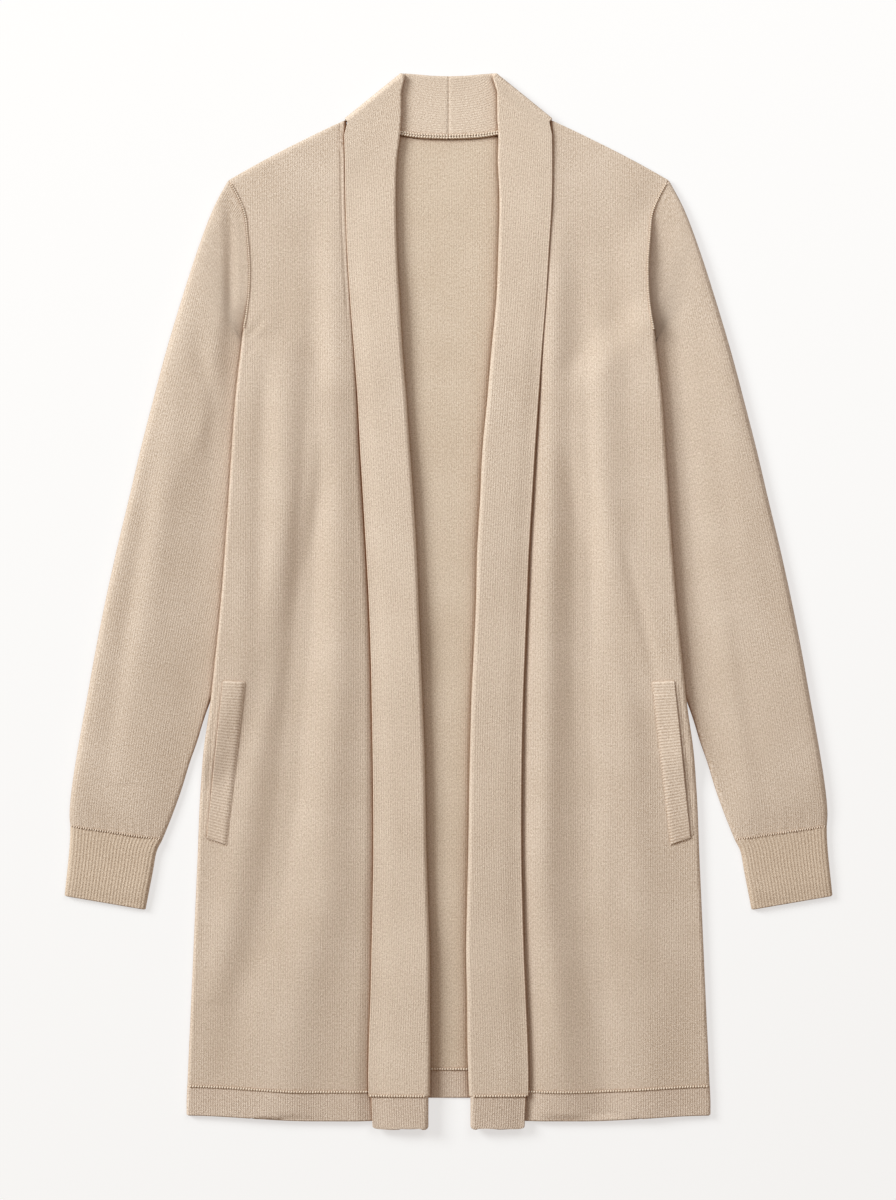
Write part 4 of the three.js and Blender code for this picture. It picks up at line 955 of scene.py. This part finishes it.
bands, band_hems, band_stitches, neck_lines = {}, {}, {}, []
for side, word in WORD.items():
    rows = band_rows(side)
    strip, cut = doubled_strip(side, rows)
    bands[side] = cloth(f"band_{word}_strip", f"band_{word}", strip, cut, BAND_WALL, wool["band"])
    upper = strip[-1][:21] if side < 0 else strip[-1][-21:]
    band_stitches[side] = hem_stitches(f"band_{word}_hem_linking", upper, BAND_WALL / 2 + 0.2)
    neck = strip[:27, -1 if side < 0 else 0]
    neck_lines += [(neck + np.array([0, shift, 1.2]), lean * side)
                   for shift, lean in ((2.7, NECK_LEAN), (0.7, -NECK_LEAN))]
    above_corner = np.concatenate([finer_ends(np.linspace(BAND_HEM_FALL - SEAM_GAP, HEM_CORNER, 9)),
                                   HEM_CORNER * (1 - np.sin(np.radians([15, 30, 45, 60, 74, 84])))])
    drop = BAND_HEM_SEAM + BAND_HEM_FALL - above_corner
    corner = HEM_CORNER * (1 - quarter_round(above_corner, HEM_CORNER))
    hem_rows = np.repeat(rows[:1], len(drop), 0)
    hem_rows[:, 0], hem_rows[:, 1] = lerp(68.5, 67.5, smooth(drop, 920, 950)) - corner, drop
    hem_rows[:, 2], hem_rows[:, 3] = band_edge(side, "roll", BAND_HEM_SEAM) + HEM_STEP + corner, drop
    strip, cut = doubled_strip(side, hem_rows[::-1])
    band_hems[side] = cloth(f"band_{word}_hem_tube", f"band_{word}_hem", strip, cut, BAND_WALL, wool["hem"])

neck_chain = stitch_rows("neck_linking_chain", neck_lines, *NECK_STITCH)

# %% [markdown]
# ## Pocket welts
# A welt is a narrow strip of rib, knitted sideways, sewn on at its inner edge and its two ends. Its outer edge
# stands open: that is the mouth of the pocket.

# %% Welts on the fronts
WELT_INNER = np.array([[182.5, 548.5], [199.5, 695.0]])
WELT_OUTER = np.array([[202.0, 547.5], [217.0, 689.5]])
WELT_RIBS, WELT_RIB_RISE, WELT_MOUTH, WELT_GAP, WELT_SINK, WELT_CLOTH = 54, 0.6, 0.7, 0.1, 1.2, 1.3
FACING_WIDTH, FACING_UNDER, FACING_CLOTH, FACING_SINK, FACING_BELOW = 3.4, 1.5, 1.2, 0.9, 0.25
welts, facings, welt_stitches = {}, {}, {}
for side, word in WORD.items():
    along = np.linspace(0, 1, WELT_RIBS * 4 + 1)[:, None]
    across = finer_ends(np.linspace(0, 1, 9))[None]
    inner, outer = (lerp(*ends, along[..., None]) for ends in (WELT_INNER, WELT_OUTER))
    spot = lerp(outer, inner, across[..., None])
    half, drop = spot[..., 0], spot[..., 1]
    lie = front_height(side, half, drop) + FRONT_WALL / 2 + WELT_GAP + WELT_CLOTH / 2
    sewn = np.maximum(smooth(across, 0.86, 1), 1 - smooth(np.minimum(along, 1 - along), 0, 0.012) + 0 * across)
    lie = lie - WELT_SINK * sewn
    mouth = WELT_MOUTH * smooth(1 - across, 0.35, 1) * np.sin(math.pi * along)
    ribs = WELT_RIB_RISE * (0.5 - 0.5 * np.cos(2 * math.pi * along * WELT_RIBS))
    relief = ribs * lerp(0.4, 1, smooth(across, 0.2, 0.8))
    mid, cut, ribs = to_right(side, place(side, half, drop, lie + mouth),
                              np.stack([along * WELT_RIBS * WELT_RIB_MM + 0 * half, half], -1), relief)
    welts[side] = cloth(f"pocket_welt_{word}_rib", f"pocket_welt_{word}", mid, cut, WELT_CLOTH, wool["welt"],
                        relief=ribs)
    # A strip of facing shows in the open mouth of the pocket
    shift = np.linspace(FACING_WIDTH, -FACING_UNDER, 6)[None]
    half, drop = outer[..., 0] + shift, outer[..., 1] + 0 * shift
    lie = front_height(side, half, drop) + FRONT_WALL / 2 - FACING_BELOW
    lie = lie - FACING_SINK * smooth(np.abs(along - 0.5), 0.47, 0.5)
    mid, cut = laid(side, half, drop, lie)
    facings[side] = cloth(f"pocket_facing_{word}_strip", None, mid, cut, FACING_CLOTH, wool["jersey"])
    end = lerp(WELT_OUTER[1], WELT_INNER[1], np.linspace(0.04, 1, 12)[:, None])
    side_line = lerp(WELT_INNER[0], WELT_INNER[1], np.linspace(0.01, 1, 60)[:, None])
    lines = [place(side, *spots.T, front_height(side, *spots.T) + FRONT_WALL / 2 + 0.2) for spots in (end, side_line)]
    welt_stitches[side] = stitch_rows(f"pocket_welt_{word}_stitches",
                                      [(lines[0], WELT_END_LEAN), (lines[1], WELT_SIDE_LEAN)], *WELT_STITCH)

# %% [markdown]
# ## The table
# A plain surface, far larger than the view. It glows a little, as a table lit from below does in a studio, so
# that it stays white from end to end and the shadows on it stay pale.

# %% White table
PAINT, GLOW = "#9a9a9a", 0.63
bpy.ops.mesh.primitive_plane_add(size=12, location=(0, 0, -0.0004))
floor = bpy.context.object
floor.name = "white_table"
paper = bpy.data.materials.new("matt_white_paint")
paper.use_nodes = True
paint = paper.node_tree.nodes["Principled BSDF"]
paint.inputs["Base Color"].default_value = linear(PAINT)
paint.inputs["Roughness"].default_value = 0.9
paint.inputs["Emission Color"].default_value = (1, 1, 1, 1)
paint.inputs["Emission Strength"].default_value = GLOW
floor.data.materials.append(paper)

# %% [markdown]
# ## What the cloth is


for side in (-1, 1):
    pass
